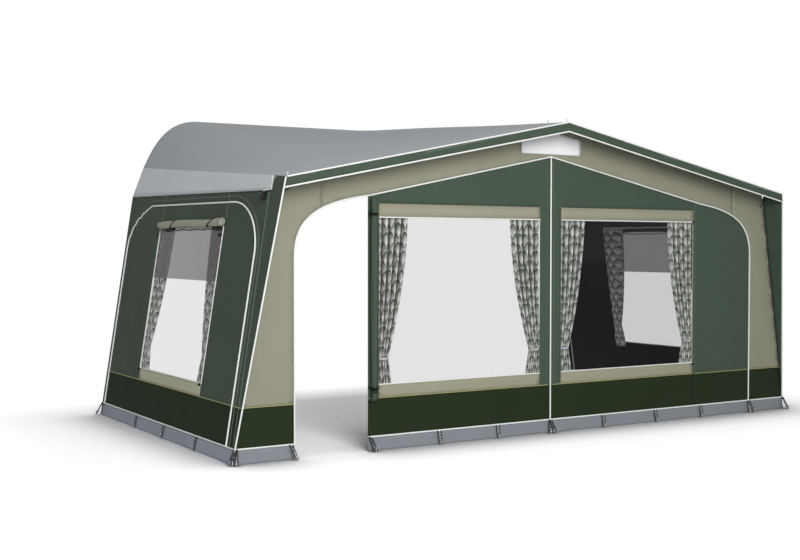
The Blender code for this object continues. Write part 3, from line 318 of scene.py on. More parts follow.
ROOF = cloth_finish("roof_coated_grey", (0.455, 0.485, 0.510), roughness=0.62, drift=0.05, crease=0.25)
# painted light: the roof's side facets are the same cloth, made much lighter for the light they catch
ROOF_FACET_PAINTED_LIGHT = cloth_finish("roof_side_grey", (0.760, 0.785, 0.805), roughness=0.62, drift=0.04, crease=0.25)
GREEN = cloth_finish("wall_green", (0.064, 0.092, 0.065), drift=0.09)
KICK_GREEN = cloth_finish("kick_band_dark_green", (0.017, 0.029, 0.012), sheen=0.0, drift=0.10, dust=0.03)
BEIGE = cloth_finish("gable_beige", (0.300, 0.296, 0.224), drift=0.05)
STRIP_BEIGE = cloth_finish("strip_beige", (0.340, 0.330, 0.240), drift=0.05)
# the blind's beige is lighter partly as its own paler cloth and partly as painted light for the shaded side
# walls
BLIND_PALER_CLOTH_AND_PAINTED_LIGHT = cloth_finish("blind_pale_beige", (0.430, 0.435, 0.345), drift=0.05)
# painted light: the side doors' sills are the strip beige, made much lighter because they stand in weaker light
SIDE_SILL_PAINTED_LIGHT = cloth_finish("side_sill_beige", (0.580, 0.575, 0.423), drift=0.05)
VENT = cloth_finish("vent_white", (0.93, 0.94, 0.95), drift=0.03)
MUD_LOOK = dict(pitch=0.0018, roughness=0.55, drift=0.07, dust=0.12)
MUD = cloth_finish("mud_wall_grey", (0.245, 0.260, 0.285), **MUD_LOOK)
# painted light: the side mud walls are the same PVC, made lighter for the side walls' weaker light
SIDE_MUD_PAINTED_LIGHT = cloth_finish("mud_wall_side_grey", (0.338, 0.369, 0.428), **MUD_LOOK)
# painted shade: the insides of the walls and of the roof are made near black, so that the awning stays dark
# inside although nothing closes its back
LINING_PAINTED_SHADE = cloth_finish("cloth_inside", (0.007, 0.009, 0.009), roughness=0.9, sheen=0.0, drift=0.15)
ROOF_INSIDE_PAINTED_SHADE = cloth_finish("roof_inside", (0.045, 0.050, 0.054), roughness=0.9, sheen=0.0, drift=0.08)
WHITE_TAPE = cloth_finish("white_tape", (0.70, 0.71, 0.70), pitch=0.0014, drift=0.04, crease=0.1)
BLACK_WEB = cloth_finish("black_webbing", (0.012, 0.012, 0.013), pitch=0.0016, drift=0.2, crease=0.1)
print("cloth finishes", len(bpy.data.materials))

# %% [markdown]
# The other finishes are smooth. Piping is a soft PVC cord, window film is a clear vinyl whose
# unevenness shows only in its reflections, and the poles are zinc-coated steel tube with fine
# drawing marks. Film is mostly see-through by its Alpha, which is quick to render.

# %% Finishes: piping, film, steel and plastic
def smooth_finish(name, colour, roughness, wear=0.1, grain=60.0, depth=0.15, **sockets):
    """A moulded or drawn material, a little uneven in colour and surface."""
    finish = Finish(name, colour, roughness, **sockets)
    patches = finish.noise(9.0, 5.0)
    marks = finish.noise(grain, 4.0)
    tone = finish.plus(finish.times(patches, 0.5), finish.times(marks, 0.5))
    stops = [(0.32, tinted(colour, 1 - wear)), (0.68, tinted(colour, 1 + wear))]
    finish.set(Base_Color=finish.ramp(tone, stops))
    inputs = {"Value": tone, "From Min": 0.3, "From Max": 0.7}
    inputs |= {"To Min": roughness * 0.8, "To Max": min(1.0, roughness * 1.2)}
    finish.set(Roughness=finish.node("ShaderNodeMapRange", inputs).outputs[0])
    finish.bump((marks, depth, 0.0006))
    return finish.material


def film_finish(name, colour, alpha, gloss=0.5):
    finish = Finish(name, colour, 0.09, Alpha=alpha, Specular_IOR_Level=gloss)
    finish.bump((finish.noise(4.0, 2.0), 0.35, 0.012), (finish.noise(26.0, 2.0), 0.10, 0.003))
    finish.material.surface_render_method = "BLENDED"
    return finish.material


PIPING = smooth_finish("piping_white", (0.86, 0.87, 0.85), 0.42, wear=0.04)
# painted light: the side arches' piping is the same white cord, made brighter because the side walls are in
# shade
PIPING_SIDE_PAINTED_LIGHT = smooth_finish("piping_white_side", (0.95, 0.96, 0.95), 0.50, wear=0.02)
PIPING_YELLOW = smooth_finish("piping_straw", (0.40, 0.37, 0.15), 0.5, wear=0.08)
SEAM_LIGHT = smooth_finish("seam_thread_pale", (0.16, 0.20, 0.155), 0.7, wear=0.12)
SEAM_DULL = smooth_finish("seam_thread_green", (0.085, 0.118, 0.086), 0.7, wear=0.12)
# painted shadow: the seam along the eaves is coloured near black to stand for the shadow line under the roof's
# edge
EAVES_SEAM_PAINTED_SHADOW = smooth_finish("seam_tape_dark", (0.020, 0.027, 0.020), 0.7, wear=0.12)
SEAM_BEIGE = smooth_finish("seam_thread_beige", (0.285, 0.280, 0.210), 0.7, wear=0.1)
FILM = film_finish("window_film_clear", (0.030, 0.032, 0.034), 0.13)
TINT = film_finish("window_film_tinted", (0.036, 0.016, 0.022), 0.80, 0.25)
STEEL = smooth_finish("pole_zinc_steel", (0.52, 0.53, 0.54), 0.34, wear=0.10, grain=260.0, Metallic=1.0)
PLASTIC = smooth_finish("clamp_black_plastic", (0.018, 0.018, 0.019), 0.45, wear=0.2, grain=400.0)
RUBBER = smooth_finish("foot_rubber", (0.030, 0.030, 0.031), 0.75, wear=0.25, grain=220.0, depth=0.35)
LADDER = smooth_finish("ladder_black_rubber", (0.016, 0.017, 0.019), 0.60, wear=0.2, grain=300.0)
RUNG = smooth_finish("ladder_grey_rubber", (0.36, 0.38, 0.40), 0.60, wear=0.15, grain=300.0)
STRAP = smooth_finish("strap_grey_rubber", (0.085, 0.090, 0.095), 0.65, wear=0.2, grain=300.0)
RAIL = smooth_finish("rail_white_plastic", (0.66, 0.67, 0.66), 0.38, wear=0.05)
PEG = smooth_finish("peg_zinc_wire", (0.42, 0.43, 0.44), 0.38, wear=0.15, Metallic=1.0)
BUCKLE = smooth_finish("buckle_black", (0.010, 0.010, 0.010), 0.55, wear=0.2, Specular_IOR_Level=0.2)
print("smooth finishes ready,", len(bpy.data.materials), "materials in all")

# %% [markdown]
# The curtains have a small printed pattern of staggered hanging leaves, a common furnishing pattern.
# It is drawn with plain arithmetic on the UV map: every other row moves over by half a leaf, one
# curve gives the arched top of each leaf, one ramp gives its tones from dark at the top to bright at
# the tip, and a dark rim follows the curve. Slow noise lets the rows wander. On the right side of the
# cloth, shade is painted into the deep folds, almost black, from an attribute the curtain's mesh carries.

# %% Finish: the curtain cloth
LEAF_WIDTH, LEAF_HEIGHT, LEAF_ARC = 0.058, 0.066, 0.62


def curtain_finish(name, shaded):
    """The leaf print; shaded also paints shade into the deep folds, almost black."""
    sheen = dict(Sheen_Weight=0.1, Sheen_Roughness=0.6, Specular_IOR_Level=0.1)
    finish = Finish(name, (0.40, 0.42, 0.38), 0.9, **sheen)
    split = finish.node("ShaderNodeSeparateXYZ", {"Vector": finish.flat})
    wander = finish.times(finish.minus(finish.noise(13.0, 2.0, finish.flat), 0.5), 0.55)
    down = finish.plus(finish.maths("DIVIDE", split.outputs["Y"], -LEAF_HEIGHT), wander)
    row = finish.maths("FLOOR", down)
    across = finish.plus(finish.maths("DIVIDE", split.outputs["X"], LEAF_WIDTH), wander)
    across = finish.plus(across, finish.times(row, 0.5))
    x = finish.maths("ABSOLUTE", finish.minus(finish.maths("FRACT", across), 0.5))
    y = finish.maths("FRACT", down)
    arc = finish.times(finish.maths("POWER", finish.times(x, 2.0), 2.2), LEAF_ARC)
    inside = finish.minus(y, arc)
    above = finish.maths("LESS_THAN", inside, 0.0)
    off = finish.maths("ABSOLUTE", finish.minus(finish.times(above, 0.5), x))
    stretched = {0: split.outputs["X"], 1: finish.times(split.outputs["Y"], 0.20)}
    stretched = finish.node("ShaderNodeCombineXYZ", stretched).outputs[0]
    streaks = finish.minus(finish.noise(300.0, 3.0, stretched), 0.5)
    patches = finish.minus(finish.noise(24.0, 2.0, finish.flat), 0.5)
    change = finish.plus(finish.times(streaks, 0.9), finish.times(patches, 0.9))
    fall = finish.plus(finish.plus(y, above), finish.times(off, -0.9))
    tone = finish.times(finish.plus(fall, change), 0.6)
    colour = finish.ramp(tone, [
        (0.00, (0.120, 0.138, 0.118)), (0.12, (0.30, 0.33, 0.29)), (0.28, (0.56, 0.59, 0.53)),
        (0.44, (0.82, 0.85, 0.78)), (0.58, (0.96, 0.97, 0.93)), (0.80, (0.99, 0.99, 0.98)),
    ])
    rim = finish.maths("LESS_THAN", finish.maths("ABSOLUTE", finish.minus(inside, 0.05)), 0.05)
    colour = finish.mix(finish.times(rim, 0.70), colour, (0.030, 0.038, 0.031, 1))
    if shaded:
        # painted shade: the fold attribute darkens the deep folds almost to black
        fold = finish.node("ShaderNodeAttribute", attribute_name="fold").outputs["Fac"]
        colour = finish.mix(finish.times(fold, 0.93), colour, (0.008, 0.010, 0.009, 1))
    finish.set(Base_Color=colour)
    finish.bump((finish.threads(0.0009), 0.3, 0.0004), (finish.noise(30.0, 3.0), 0.3, 0.004))
    return finish.material


# the front side of the curtain carries painted shade in its folds, the back side does not
CURTAIN_WITH_PAINTED_FOLD_SHADE = curtain_finish("curtain_leaf_print", True)
CURTAIN_BACK = curtain_finish("curtain_leaf_print_back", False)
print("curtain leaf", LEAF_WIDTH, "by", LEAF_HEIGHT, "m")

# %% [markdown]
# The rigid parts of the CAD are right as they are: tubes, clamp knobs, foot plates and pads. Their
# objects are never moved or changed; only what their material slots hold is swapped.

# %% Dress the rigid CAD parts
RIGID = {"pole_steel": STEEL, "clamp_plastic": PLASTIC, "foot_rubber": RUBBER}


def dress_rigid_parts():
    dressed = 0
    for name, item in NODES.items():
        if not any(word in name for word in ("pole", "leg", "rafter", "knob")):
            continue
        for place in item.material_slots:
            label = place.material.name if place.material else "pole_steel"
            for key, material in RIGID.items():
                if key in label:
                    place.material = material
                    dressed += 1
    return dressed


print("rigid material slots dressed:", dress_rigid_parts())

# %% [markdown]
# Now the cloth cutter. A wall panel is made of several cuts that share edges: the green cloth, a
# dark kick band, beige strips, a hole for the window. All outlines go together into one constrained
# Delaunay triangulation, with a loose hexagonal scatter of points between them. The points let the
# panel billow and crease, and the constraints keep each seam exact. Solidify then gives the cloth
# its thickness towards the inside, and the inside gets a near-black material: painted shade.

# %% Cloth cutter: outlines to triangles
def densified(loop, spacing):
    points = []
    for (x0, y0), (x1, y1) in zip(loop, loop[1:] + loop[:1]):
        steps = max(1, math.ceil(math.hypot(x1 - x0, y1 - y0) / spacing))
        points += [(lerp(x0, x1, k / steps), lerp(y0, y1, k / steps)) for k in range(steps)]
    return points


def inside_loop(points, loop):
    """Which of the points lie inside a closed loop, by counting crossings."""
    result = np.zeros(len(points), bool)
    x, y = points[:, 0], points[:, 1]
    for (x0, y0), (x1, y1) in zip(loop, loop[1:] + loop[:1]):
        if y0 == y1:
            continue
        crosses = (y0 > y) != (y1 > y)
        result ^= crosses & (x < (x1 - x0) * (y - y0) / (y1 - y0) + x0)
    return result


def edge_distance(points, loops):
    """Distance from each point to the nearest edge of the loops."""
    best = np.full(len(points), 1e9)
    for loop in loops:
        for start, end in zip(loop, loop[1:] + loop[:1]):
            a, b = np.array(start), np.array(end)
            span = b - a
            length = float(span @ span)
            if length == 0:
                continue
            share = np.clip((points - a) @ span / length, 0, 1)
            best = np.minimum(best, np.linalg.norm(points - (a + share[:, None] * span), axis=1))
    return best


def in_region(points, region):
    within, holes = region[0], region[1]
    keep = np.ones(len(points), bool)
    for loop in within:
        keep &= inside_loop(points, loop)
    for loop in holes:
        keep &= ~inside_loop(points, loop)
    return keep


def cut_triangles(regions, spacing):
    """Triangles of regions (loops it lies within, loops it lies outside), and the region of each."""
    loops = [loop for region in regions for loop in region[0] + region[1]]
    index, points, edges = {}, [], set()
    for loop in loops:
        ring = []
        for x, y in densified(loop, spacing):
            key = (round(x, 6), round(y, 6))
            if key not in index:
                index[key] = len(points)
                points.append(key)
            ring.append(index[key])
        edges |= {tuple(sorted(pair)) for pair in zip(ring, ring[1:] + ring[:1]) if pair[0] != pair[1]}
    low, high = np.min(points, axis=0), np.max(points, axis=0)
    rows = np.arange(low[1] + spacing / 2, high[1], spacing * 0.866)
    scatter = np.array([
        (x, y) for number, y in enumerate(rows)
        for x in np.arange(low[0] + spacing * (0.25 + 0.5 * (number % 2)), high[0], spacing)
    ])
    wanted = np.zeros(len(scatter), bool)
    for region in regions:
        wanted |= in_region(scatter, region)
    scatter = scatter[wanted]
    scatter = scatter[edge_distance(scatter, loops) > spacing * 0.45]
    flat = [Vector(point) for point in points] + [Vector(point) for point in scatter]
    made = delaunay_2d_cdt(flat, sorted(edges), [], 0, 1e-6)
    places = np.array([tuple(point) for point in made[0]])
    faces = np.array([tuple(face) for face in made[2]])
    middle = places[faces].mean(axis=1)
    owner = np.full(len(faces), -1)
    for number, region in enumerate(regions):
        owner[(owner < 0) & in_region(middle, region)] = number
    used, faces = np.unique(faces[owner >= 0], return_inverse=True)
    return places[used], faces.reshape(-1, 3), owner[owner >= 0]


# %% [markdown]
# Points and faces become an object in one place, so that every piece is made alike: with its body,
# its material slots, its UV map in metres and its shading. Solidify gives a sheet its thickness, and
# the result is kept as a plain mesh, so that nothing in the finished piece still has to be worked out.

# %% Cloth cutter: from points to a piece
def settle(item):
    """Turn an object with modifiers into a plain mesh."""
    graph = bpy.context.evaluated_depsgraph_get()
    shape = item.evaluated_get(graph)
    mesh = bpy.data.meshes.new_from_object(shape, preserve_all_data_layers=True, depsgraph=graph)
    item.modifiers.clear()
    item.data = mesh


def grid_faces(rows, columns, closed=False):
    """Four-sided faces over rows of points; closed joins the end of each row to its start."""
    return [
        tuple(r * columns + c % columns for r, c in ((row, k), (row, k + 1), (row + 1, k + 1), (row + 1, k)))
        for row in range(rows - 1) for k in range(columns if closed else columns - 1)
    ]


def turn_outwards(mesh):
    shape = bmesh.new()
    shape.from_mesh(mesh)
    bmesh.ops.recalc_face_normals(shape, faces=shape.faces)
    shape.to_mesh(mesh)
    shape.free()


def new_piece(name, body, points, faces, materials, owner=None, uvs=None, sharp=60):
    """A piece that rides on a body. owner is the material of each face, uvs has a pair for each
    corner of cloth, and edges over sharp degrees stay hard. Without uvs it is trim, which is closed
    or thin on both sides, so its faces are turned outwards."""
    mesh = bpy.data.meshes.new(name)
    mesh.from_pydata(points, [], faces)
    for material in materials:
        mesh.materials.append(material)
    if owner is not None:
        mesh.polygons.foreach_set("material_index", owner)
    if uvs is None:
        turn_outwards(mesh)
    else:
        mesh.uv_layers.new(name="cloth").data.foreach_set("uv", np.array(uvs).ravel())
    if sharp:
        for face in mesh.polygons:
            face.use_smooth = True
        mesh.set_sharp_from_angle(angle=math.radians(sharp))
    item = add_object(name, mesh)
    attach(item, body)
    return item


def thicken(piece, thickness, offset=-1, lining=0):
    """Give a sheet its thickness; lining is how many places down the list its inside's material is."""
    wall = piece.modifiers.new("thickness", "SOLIDIFY")
    wall.thickness, wall.offset, wall.material_offset = thickness, offset, lining
    settle(piece)


# %% [markdown]
# Tight cloth is never quite flat. `billow` gives the slow swell and the faint creases that run down
# a hanging wall, a few millimetres at most. It fades out near seams, because piping and zips hold
# the cloth there. Two cuts that share a seam use the same function, so their edges still meet.

# %% Cloth cutter: sewing a piece
def billow(x, y):
    """How far hanging cloth stands out at a place on its wall."""
    slow = noise.noise(Vector((x * 0.9, y * 0.55, 3.1)))
    painted_fold_shade = noise.noise(Vector((x * 5.0, y * 1.1, 7.7)))
    fine = noise.noise(Vector((x * 13.0, y * 4.0, 1.3)))
    return 0.0050 * slow + 0.0022 * painted_fold_shade + 0.0008 * fine


def sew_cloth(
    name, body, stands_for, finish_slot, regions, materials, place, seams, lining=LINING_PAINTED_SHADE, spacing=0.04,
    thickness=CLOTH, layer=0.0, swell=1.0, held="stretched", rests_on=(), fade=0.12,
):
    """One cloth piece from regions of the same wall; the nth region has the nth material."""
    flat, faces, owner = cut_triangles(regions, spacing)
    away = np.clip(edge_distance(flat, seams) / fade, 0, 1)
    away = away * away * (3 - 2 * away)
    places = [place(x, y, layer + swell * billow(x, y) * float(share)) for (x, y), share in zip(flat, away)]
    corners = flat[faces]
    piece = new_piece(
        name, body, places, faces.tolist(), materials + [lining], owner.tolist(), corners, sharp=35
    )
    thicken(piece, thickness, lining=len(materials))
    if stands_for:
        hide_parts(*stands_for)


def sew_plain(name, body, stands_for, finish_slot, outline, material, place, **more):
    """A cloth piece of one cut and one material."""
    sew_cloth(name, body, stands_for, finish_slot, [([outline], [])], [material], place, [outline], **more)


def rectangle(x0, x1, y0, y1):
    return [(x0, y0), (x1, y0), (x1, y1), (x0, y1)]


# %% [markdown]
# The front wall. Two beige pillars and a gable band frame a wide arch. The doorway at its left is
# open, with that door rolled up beside it. The two green panels and the right door fill the rest.
# Each panel gets its dark kick band and the beige strips over and under its window.

# %% Front wall
def front_edge(height):
    return side_half(0, height) - CLOTH


def under_roof(sideways):
    return roof_line(sideways) - CLOTH - 0.0004


VENT_HOLE = [(-0.272, 2.128), (0.272, 2.128), (0.272, 2.226), (0, 2.281), (-0.272, 2.226)]
GAP = 0.0004                      # half of the gap between two bodies' cloths
FRONT_WINDOWS = {"left": (-1.524, -0.104), "right": (0.104, 1.500)}


def make_gable():
    lower = FRONT_CORNER[15:] + [(0, ARCH_APEX)]
    right = [(BAND_SEAM[0], under_roof(BAND_SEAM[0]))] + lower
    left = [(-x, z) for x, z in reversed(lower)][1:] + [(-BAND_SEAM[0], under_roof(BAND_SEAM[0]))]
    band = right + left + [(0, under_roof(0))]
    sew_cloth(
        "gable_band_cloth", SHELL, ["gable_band"], "beige_cloth", [([band], [VENT_HOLE])], [BEIGE],
        front_place, [band], rests_on=["gable_rafter_left", "gable_rafter_right"],
    )
    head = front_edge(EAVES - 0.003)
    arch = list(reversed(FRONT_CORNER[:16]))
    upper = [(front_edge(KICK), KICK), (head, under_roof(head)), (BAND_SEAM[0], under_roof(BAND_SEAM[0]))]
    upper += arch + [(ARCH_HALF, KICK)]
    lower = [(front_edge(HEM), HEM), (front_edge(KICK), KICK), (ARCH_HALF, KICK), (ARCH_HALF, HEM)]
    for side, label in SIDES:
        pillar = "pillar_" + label
        sew_plain(
            pillar + "_cloth", SHELL, [pillar], "beige_cloth", [(side * x, z) for x, z in upper],
            BEIGE, front_place, rests_on=["gable_rafter_" + label],
        )
        sew_plain(
            pillar + "_kick_band", SHELL, [], "green_cloth", [(side * x, z) for x, z in lower],
            KICK_GREEN, front_place, rests_on=[pillar + "_cloth"],
        )


def above_and_below(outline, x0, x1, holes=()):
    """Two regions of an outline: above the kick line, less the holes, and below it."""
    return [
        ([outline, rectangle(x0, x1, KICK, 3)], list(holes)), ([outline, rectangle(x0, x1, 0, KICK)], []),
    ]


def make_front_panel(label, outline, border=0.0):
    """A green panel with its window and beige strips; border is the width of one beside the window."""
    body = "front_panel_" + label
    cloth = body + "_cloth"
    x0, x1 = FRONT_WINDOWS[label]
    seams = [outline, rectangle(x0, x1, SILL, WINDOW_TOP)]
    far = x1 + border
    strips = [rectangle(x0, far, KICK, SILL), rectangle(x0, far, WINDOW_TOP, STRIP)]
    if border:
        strips.append(rectangle(x1, far, SILL, WINDOW_TOP))
    low, high = min(x for x, z in outline), max(x for x, z in outline)
    regions = above_and_below(outline, low - 1, high + 1, [rectangle(x0, far, KICK, STRIP)])
    sew_cloth(
        cloth, body, [body], "green_cloth", regions, [GREEN, KICK_GREEN], front_place, seams,
        rests_on=["gable_band_cloth"],
    )
    sew_cloth(
        body + "_strips", body, [], "beige_cloth", [([strip], []) for strip in strips],
        [STRIP_BEIGE] * len(strips), front_place, seams, rests_on=[cloth], layer=0.0003,
    )


make_gable()
make_front_panel("left", [
    (-PANEL_EDGE, HEM), (-GAP, HEM), (-GAP, ARCH_APEX - GAP), (-ARCH_SHOULDER[0], ARCH_SHOULDER[1] - GAP),
    (-PANEL_EDGE, arch_at(PANEL_EDGE) - GAP),
])
make_front_panel("right", [
    (GAP, HEM), (DOOR_SEAM - GAP, HEM), (DOOR_SEAM - GAP, arch_at(DOOR_SEAM) - GAP), (GAP, ARCH_APEX - GAP),
], border=0.012)

# %% [markdown]
# The right door closes the gap between the right panel and the pillar. Its curved edge could be
# measured again, but it is the arch itself, so the arch's own points are used and no gap can open.

# %% Right door
DOOR_OUTLINE = [(DOOR_SEAM + GAP, HEM), (ARCH_HALF - GAP, HEM)]
DOOR_OUTLINE += [(x - GAP, z - GAP / 2) for x, z in FRONT_CORNER]
DOOR_OUTLINE += [(DOOR_SEAM + GAP, arch_at(DOOR_SEAM) - GAP)]
sew_cloth(
    "front_door_right_cloth", "front_door_right", ["front_door_right"], "green_cloth",
    above_and_below(DOOR_OUTLINE, 0, 3), [GREEN, KICK_GREEN], front_place, [DOOR_OUTLINE],
    rests_on=["front_panel_right_cloth"],
)

# %% [markdown]
# The side walls are the same work on a leaning sheet. A large door with an arched top fills most of
# each wall, and its window has a rolled blind above it. The wall itself is only the frame round that
# door. In front of each wall stands a storm wing, the narrow triangle that closes the corner under
# the canopy.

# %% Side walls, side doors and storm wings
SIDE_WINDOW = ((0.715, 0.461), (1.990, 1.560))   # (back, height) of its front foot and its rear top


def on_side(side, route):
    return [side_flat(side, back, height) for back, height in route]


def side_band(side, low, high):
    return on_side(side, [(-1, low), (4, low), (4, high), (-1, high)])


def side_window(side):
    """The window in the wall's flat coordinates, as low x, high x, bottom and top."""
    (front, bottom), (rear, top) = (side_flat(side, *corner) for corner in SIDE_WINDOW)
    return min(front, rear), max(front, rear), bottom, top


def make_side_wall(side, label):
    place = SIDE_PLACE[side]
    arch = on_side(side, side_arch_route())
    low, high = side_band(side, 0, KICK), side_band(side, KICK, 3)
    wall = on_side(side, [(0, HEM), (0, SEAM_FRONT), (REAR_EDGE, SEAM_REAR), (REAR_EDGE, HEM)])
    sew_cloth(
        "side_wall_%s_cloth" % label, SHELL, ["side_wall_" + label], "green_cloth",
        [([wall, high], [arch]), ([wall, low], [arch])], [GREEN, KICK_GREEN], place, [wall, arch],
        rests_on=["corner_leg_%s_upper" % label],
    )
    x0, x1, bottom, top = side_window(side)
    window = rectangle(x0, x1, bottom, top)
    sill = rectangle(x0, x1, side_flat(side, 1.4, KICK)[1], bottom)
    door = "side_door_" + label
    sew_cloth(
        door + "_cloth", door, [door], "green_cloth",
        [([arch, high], [window, sill]), ([arch, low], [])], [GREEN, KICK_GREEN], place, [arch, window],
        rests_on=["side_wall_%s_cloth" % label],
    )
    # the sill takes the painted-light copy of the strip beige
    sew_cloth(
        door + "_sill_strip", door, [], "beige_cloth", [([sill], [])], [SIDE_SILL_PAINTED_LIGHT], place, [arch, window],
        rests_on=[door + "_cloth"], layer=0.0003,
    )


def wing_folder(side, flare=WING_FLARE):
    """The storm wing turns out a little from the side wall's plane, as in the CAD."""
    return lambda x, y, out=0.0: SIDE_PLACE[side](x, y, out + flare * max(0.0, -side * x))


def make_storm_wing(side, label):
    tip, head = -OVERHANG + 0.003, EAVES - 0.006
    crown = rounded((0, head - 0.060), (-0.060, head - 0.060 * FOLD_SLOPE), ((0, 0.5), (0.5, 1)), 8)
    wing = on_side(side, [(0, HEM)] + crown + [(tip, head + FOLD_SLOPE * tip)])
    low, high = side_band(side, 0, KICK), side_band(side, KICK, 3)
    sew_cloth(
        "storm_wing_%s_cloth" % label, SHELL, ["storm_wing_" + label], "green_cloth",
        [([wing, high], []), ([wing, low], [])], [GREEN, KICK_GREEN], wing_folder(side), [wing], spacing=0.025,
        rests_on=["side_wall_%s_cloth" % label], lining=GREEN,
    )


for wall_side, wall_label in SIDES:
    make_side_wall(wall_side, wall_label)
    make_storm_wing(wall_side, wall_label)

# %% [markdown]
# The roof is one continuous curved sheet. At the front it follows the straight gable, at the back
# a low arch with rounded shoulders, and it hangs in a little between the poles. Rows run from front
# to back and columns from one side seam over the fold and ridge to the other. A few passes of
# smoothing round the cloth where it turns over a pole.

# %% Roof
ROOF_ROWS, ROOF_COLUMNS = 84, 68
FOLD_COLUMN = 8                   # columns from a side seam to the fold over the side pole


def rear_edge(shares):
    """Points on the roof's rear edge at shares of its length, from the fold to the ridge."""
    route = rounded(FOLD_REAR, SHOULDER, ((0.191, 0.471), (0.447, 0.971)), 40) + [(0, RIDGE_REAR)]
    route = np.array(route)
    length = np.concatenate([[0], np.cumsum(np.linalg.norm(np.diff(route, axis=0), axis=1))])
    length /= length[-1]
    return np.interp(shares, length, route[:, 0]), np.interp(shares, length, route[:, 1])


def rise_and_fall(share):
    return 1 - (1 - 2 * share) ** 2


def roof_half(back):
    """Right half of one row: side seam, fold, and on to the ridge; the fold is row index 8."""
    near = np.array([0.0, 0.003, 0.006, 0.010, 0.016])
    shares = np.concatenate([near, np.linspace(0.024, 0.985, ROOF_COLUMNS - 8), [0.992, 0.997, 1.0]])
    rear_x, rear_z = rear_edge(shares)
    travel = back / DEPTH
    hang = ROOF_SAG * rise_and_fall(max(travel, 0)) * rise_and_fall(shares)
    x = lerp(side_half(0, EAVES) * (1 - shares), rear_x, travel)
    z = lerp(lerp(EAVES, RIDGE_FRONT, shares), rear_z, travel) - hang
    seam = lerp(SEAM_FRONT, SEAM_REAR, max(travel, 0)) + 0.0008
    start = np.array([side_half(max(back, 0), seam), seam])
    fold = np.array([x[0], z[0]])
    facet = np.array([start + (fold - start) * t for t in (0, 0.2, 0.4, 0.6, 0.75, 0.86, 0.92, 0.96)])
    row = np.vstack([facet, np.column_stack([x, z])])
    for _ in range(3):
        inner = row[5:12].copy()
        row[6:11] = (inner[:-2] + 2 * inner[1:-1] + inner[2:]) / 4
    return row


def roof_ripple(x, back, inwards):
    """The cloth's small waves at a number of columns past the fold, none on the facets and edges."""
    slow = noise.noise(Vector((x * 1.3, back * 0.8, 2.0))) * 0.006
    fine = noise.noise(Vector((x * 5.0, back * 0.9, 5.0))) * 0.0025
    ends = min(1.0, (back + OVERHANG) / 0.3) * min(1.0, (DEPTH - back) / 0.15)
    return (slow + fine) * min(1.0, max(0, inwards) / 8) * ends


def make_roof():
    backs = np.concatenate([np.linspace(-OVERHANG + 0.002, 0, 9), np.linspace(0, REAR_EDGE, ROOF_ROWS)[1:]])
    points, flat = [], []
    for back in backs:
        half = roof_half(back)
        row = np.vstack([half * [-1, 1], half[::-1][1:]])
        count = len(row)
        steps = np.concatenate([[0], np.cumsum(np.linalg.norm(np.diff(row, axis=0), axis=1))])
        flat += [(u - steps[-1] / 2, back) for u in steps]
        for number, (x, z) in enumerate(row):
            inwards = min(number, count - 1 - number) - FOLD_COLUMN
            points.append((x, WALL_Y + back, z + roof_ripple(x, back, inwards)))
    faces, sides = [], []
    for face in grid_faces(len(backs), count):
        facet = not FOLD_COLUMN <= face[0] % count < count - 1 - FOLD_COLUMN
        if not facet or backs[face[0] // count] > -1e-6:       # the canopy has no facets beside it
            faces.append(face)
            # the side facets get the roof cloth's painted-light copy
            sides.append(2 if facet else 0)
    used, small = np.unique(faces, return_inverse=True)
    roof = new_piece(
        "roof_cloth", SHELL, np.array(points)[used].tolist(), small.reshape(-1, 4).tolist(),
        (ROOF, ROOF_INSIDE_PAINTED_SHADE, ROOF_FACET_PAINTED_LIGHT, ROOF_INSIDE_PAINTED_SHADE), sides, np.array(flat)[np.array(faces)],
    )
    thicken(roof, 0.0014, lining=1)
    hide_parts("roof_sheet")


make_roof()

# %% [markdown]
# The valance is the green strip that hangs along the canopy's front edge, and the vent cover is a
# white flap over the opening under the ridge. Both are single cuts. The valance takes its top edge
# from the roof's front row, so that it stays sewn to the roof whatever shape the roof has.

# %% Valance along the canopy and vent cover
def canopy_top(sideways):
    """Top of the canopy's front edge."""
    row = roof_half(-OVERHANG)
    tip, peak = row[FOLD_COLUMN], row[-1]
    return lerp(peak[1], tip[1], abs(sideways) / tip[0])


CANOPY_HALF = float(roof_half(-OVERHANG)[FOLD_COLUMN][0])
VALANCE = 0.072
VALANCE_FLARE = 1 + LEAN * VALANCE / CANOPY_HALF   # its ends follow the leaning storm wings


def canopy_place(x, z, out=0.0):
    return Vector((x, WALL_Y - OVERHANG + 0.002 - out, z))


def make_valance():
    tip, peak = canopy_top(CANOPY_HALF), canopy_top(0)
    top = [(CANOPY_HALF, tip - 0.001), (0, peak - 0.001), (-CANOPY_HALF, tip - 0.001)]
    valance = top + [(x * VALANCE_FLARE, z - VALANCE + 0.001) for x, z in reversed(top)]
    sew_plain(
        "canopy_valance_cloth", SHELL, ["canopy_valance"], "green_cloth", valance, GREEN, canopy_place,
        spacing=0.03, lining=GREEN, held="hung", rests_on=["roof_cloth"], fade=0.03,
    )


def make_vent():
    cover = [(-0.284, 2.116), (0.284, 2.116), (0.284, 2.236), (0, 2.294), (-0.284, 2.236)]
    sew_plain(
        "vent_cover_cloth", SHELL, ["vent_cover"], "vent_cloth", cover, VENT, front_place,
        lining=VENT, spacing=0.02, layer=0.0022, swell=1.5, rests_on=["gable_band_cloth"], fade=0.04,
    )


make_valance()
make_vent()

# %% [markdown]
# The mud wall is a strip of grey PVC along the ground. It hangs from the walls' lower edge and its
# own lower edge wanders a little between the pegs that hold it, so its outline is cut straight and
# a short function pushes it out near the ground.

# %% Mud walls
def mud_place(place, phase):
    def shaped(x, y, out=0.0):
        low = max(0.0, 1 - y / HEM)
        wander = 0.0035 + 0.0035 * math.sin(x * 11.0 + phase) + 0.002 * math.sin(x * 27.0 + 2 * phase)
        return place(x, y, out + low * wander)
    return shaped


